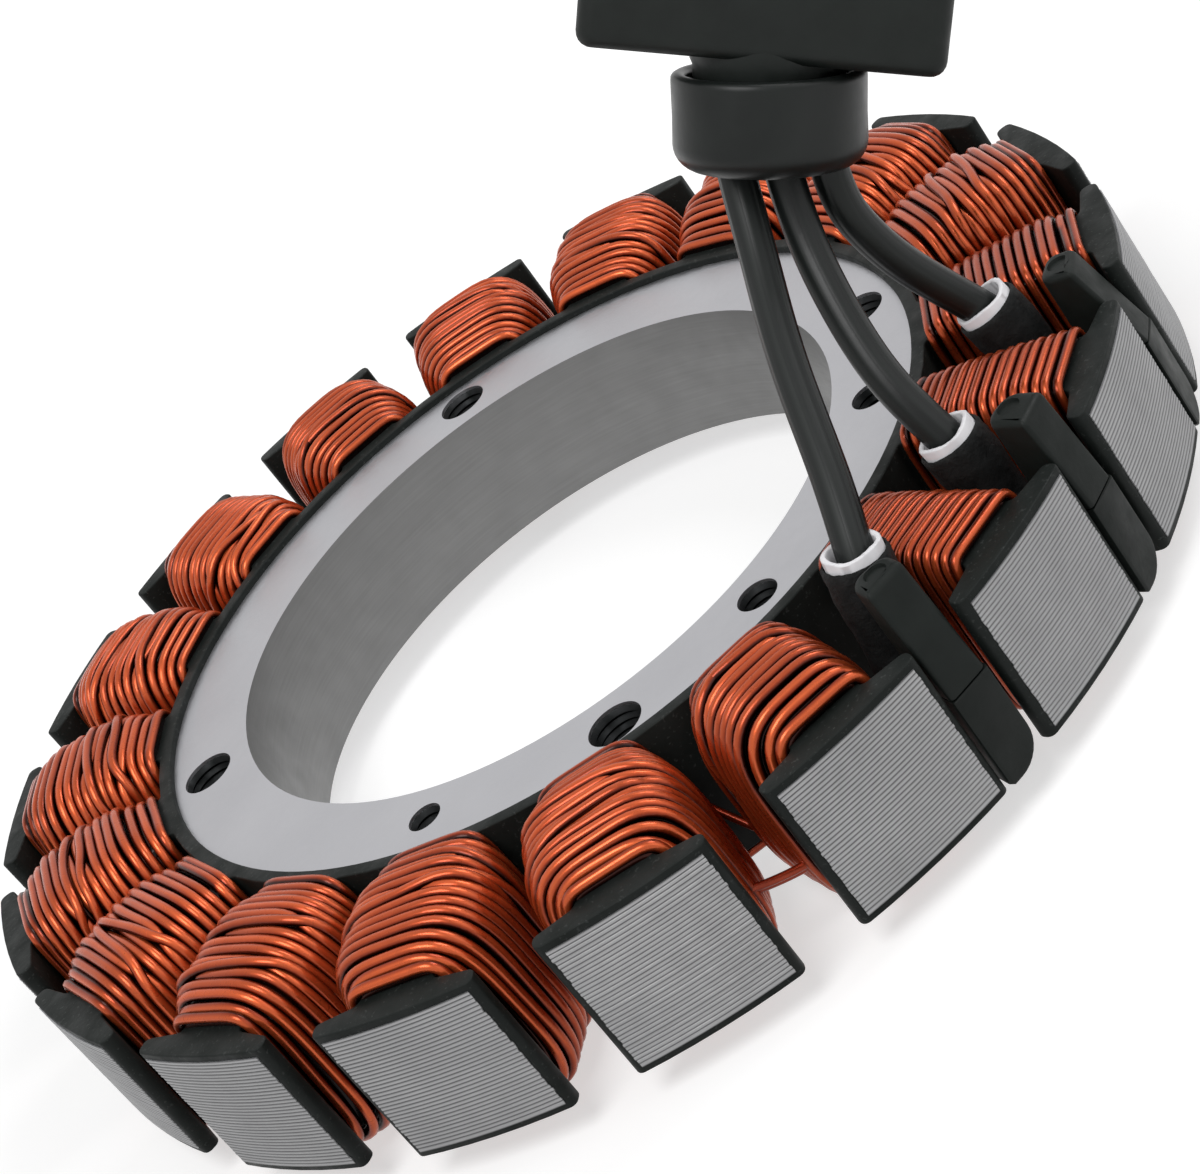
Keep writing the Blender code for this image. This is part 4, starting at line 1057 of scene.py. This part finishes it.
def make_plug():
    """The round neck and the flat body, open at its top over three round contacts."""
    width, thick, height = BODY_SIZE
    depth, rim = SOCKET
    plug = plug_frame()
    skew = Matrix.Rotation(math.radians(BODY_SKEW), 4, "Y")
    body = plug @ Matrix.Translation((BODY_SHIFT, 0, NECK_TOP)) @ skew

    def plan(inset, z):
        w, t = width / 2 - inset, thick / 2 - inset
        outline = fillet([(-w, -t), (w, -t), (w, t), (-w, t)], max(BODY_ROUND - inset, 0.0005), 7)
        return [(*p, z) for p in outline]

    levels = rounded_levels(0.0, height, 0.0013, 0.0004, 5)
    levels += [(rim - 0.0002, height), (rim, height - 0.0002), (rim, height - depth)]
    verts, faces = loft(plan, levels)
    verts = [plug.inverted() @ (body @ v) for v in verts]
    wider = NECK_RADIUS + NECK_STEP
    neck = [(0, NECK_FOOT), (NECK_RADIUS, NECK_FOOT), (NECK_RADIUS, NECK_TOP - 0.0006),
            (wider, NECK_TOP - 0.0001), (wider, NECK_TOP + NECK_IN_BODY), (0, NECK_TOP + NECK_IN_BODY)]
    append_part(verts, faces, *lathe(neck, 80))
    piece = mesh_object("plug_body", verts, faces, PLUG_BLACK, 40)
    stands(piece, "connector_body", plug)
    foot = height - depth - PIN_ROOT
    tip = foot + PIN_LENGTH
    profile = [(0, tip), (0.0005, tip - 0.00005), (0.0009, tip - 0.0003), (PIN_RADIUS, tip - 0.0009),
               (PIN_RADIUS, foot), (0, foot)]
    for index in range(3):
        pin = mesh_object(f"pin_{index + 1}", *lathe(profile, 28), BRASS, 40)
        spot = body @ Matrix.Translation((PIN_SPACING * (1 - index), 0, 0))
        stands(pin, f"contact_pin_{index + 1}", spot)


# Strands in the first slot, each by its two ends: radius, way across the slot and height
STRANDS = (((0.0556, -0.0036, 0.0047), (0.0556, 0.0036, 0.0027)),
           ((0.0551, -0.0036, 0.0041), (0.0551, 0.0036, 0.0021)),
           ((0.0446, -0.0018, 0.0072), (0.0515, 0.0030, 0.0017)))
STRAND_SAG = 0.0003
STRAND_RADIUS = WIRE * 0.36
LINK_RADIUS = WIRE * 0.48
LINK_SEAT_GAP = 0.00015
LINK_APART = WIRE + 0.00003
LINK_SPAN = 15 * PITCH


def make_strands():
    angle = tooth_angle(1) - PITCH / 2
    out = Vector((math.cos(angle), math.sin(angle), 0))
    across = Vector((-math.sin(angle), math.cos(angle), 0))
    for index, (start, end) in enumerate(STRANDS):
        points = []
        for t in np.linspace(0, 1, 13):
            radius, reach, height = (a + (b - a) * t for a, b in zip(start, end))
            height -= STRAND_SAG * 4 * t * (1 - t)
            points.append(out * radius + across * reach + Vector((0, 0, STACK_BASE + height)))
        strand = mesh_object(f"strand_{index + 1}", *sweep(points, STRAND_RADIUS, 12), STRAND, 50)
        stands(strand, f"coil_tail_{index + 1}")


def make_links():
    """Each phase's link wire, which runs round the rear of the ring at its own level."""
    for index in range(3):
        level = STACK_BASE - COAT - LINK_SEAT_GAP - WIRE / 2 - LINK_APART * index
        start = tooth_angle(index + 1)
        points = []
        for t in np.linspace(0, LINK_SPAN, 181):
            radius = YOKE_RADIUS - 0.0002 + 0.0001 * math.sin(9 * t + index)
            points.append((*polar(radius, start - t), level))
        link = mesh_object(f"link_wire_{index + 1}", *sweep(points, LINK_RADIUS, 10), STRAND, 50)
        stands(link, f"phase_link_{index + 1}")


make_core()
make_threads()
make_coat()
for number in range(1, TOOTH_COUNT + 1):
    make_coil(number)
for index in range(len(LEAD_TEETH)):
    make_post(index)
    make_block(index)
make_sleeves()
make_leads()
make_collar()
make_plug()
make_strands()
make_links()
for number in (1, 2, 3):
    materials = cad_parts[f"crimp_splice_{number}"].data.materials
    materials.clear()
    materials.append(TIN)


# Camera, floor and light
camera_data = bpy.data.cameras.new("camera")
camera_data.lens = CAMERA_LENS
camera_data.sensor_width = CAMERA_SENSOR
camera_data.sensor_fit = "HORIZONTAL"
camera_data.clip_start = 0.01
camera_data.clip_end = 10
camera = bpy.data.objects.new("camera", camera_data)
axes = (Vector(CAMERA_RIGHT), -Vector(CAMERA_DOWN), -Vector(CAMERA_FORWARD))
camera.matrix_world = Matrix.Translation(CAMERA_PLACE) @ Matrix(axes).transposed().to_4x4()
scene = bpy.context.scene
scene.collection.objects.link(camera)
scene.camera = camera
scene.view_settings.view_transform = "Standard"
world = bpy.data.worlds.new("studio")
scene.world = world
world.use_nodes = True
tree = world.node_tree
background = tree.nodes["Background"]
background.inputs["Color"].default_value = (1, 1, 1, 1)


def seen_share(tree):
    """1 for rays that show the background: from the camera, a mirror or glass."""
    path = tree.nodes.new("ShaderNodeLightPath")
    total = path.outputs["Is Camera Ray"]
    for kind in ("Is Glossy Ray", "Is Transmission Ray"):
        add = tree.nodes.new("ShaderNodeMath")
        add.operation = "MAXIMUM"
        tree.links.new(total, add.inputs[0])
        tree.links.new(path.outputs[kind], add.inputs[1])
        total = add.outputs[0]
    return total


WORLD_LIGHT = 0.24
FLOOR_HALF = 3.0
FLOOR_TONES = (0.35, 0.55)
GLOW_RADII = (0.07, 0.28)
GLOW_STRENGTHS = (0.60, 0.97)

seen = tree.nodes.new("ShaderNodeMapRange")
seen.inputs["To Min"].default_value = WORLD_LIGHT
tree.links.new(seen_share(tree), seen.inputs["Value"])
tree.links.new(seen.outputs["Result"], background.inputs["Strength"])

floor_mesh = bpy.data.meshes.new("floor")
corners = [(x * FLOOR_HALF, y * FLOOR_HALF, 0) for x, y in ((-1, -1), (1, -1), (1, 1), (-1, 1))]
floor_mesh.from_pydata(corners, [], [(0, 1, 2, 3)])
floor = bpy.data.objects.new("floor", floor_mesh)
scene.collection.objects.link(floor)
floor_shader = Shader("pale_floor").set(roughness=0.9, specular=0.0)
share = seen_share(floor_shader.tree)
floor_shader.spread(share, *FLOOR_TONES, "Base Color", 0.0, 1.0)
reach = floor_shader.node("ShaderNodeVectorMath", operation="LENGTH")
floor_shader.link(floor_shader.coords, reach.inputs[0])
glow = floor_shader.spread(reach.outputs["Value"], *GLOW_STRENGTHS, None, *GLOW_RADII)
shown = floor_shader.node("ShaderNodeMath", operation="MULTIPLY")
floor_shader.link(glow, shown.inputs[0])
floor_shader.link(share, shown.inputs[1])
floor_shader.main.inputs["Emission Color"].default_value = (1, 1, 1, 1)
floor_shader.link(shown.outputs[0], floor_shader.main.inputs["Emission Strength"])
floor_mesh.materials.append(floor_shader.material)

LIGHT_TARGET = Vector((0, 0, 0.01))
for name, place, size, power in (("key", (-0.30, -0.12, 0.56), 0.35, 2.0),
                                 ("fill", (0.10, -0.55, 0.35), 0.5, 0.5),
                                 ("side", (0.38, -0.22, 0.46), 0.3, 1.1)):
    data = bpy.data.lights.new(name, "AREA")
    data.shape = "DISK"
    data.size = size
    data.energy = power
    lamp = bpy.data.objects.new(name, data)
    lamp.location = place
    lamp.rotation_euler = (LIGHT_TARGET - Vector(place)).to_track_quat("-Z", "Y").to_euler()
    scene.collection.objects.link(lamp)
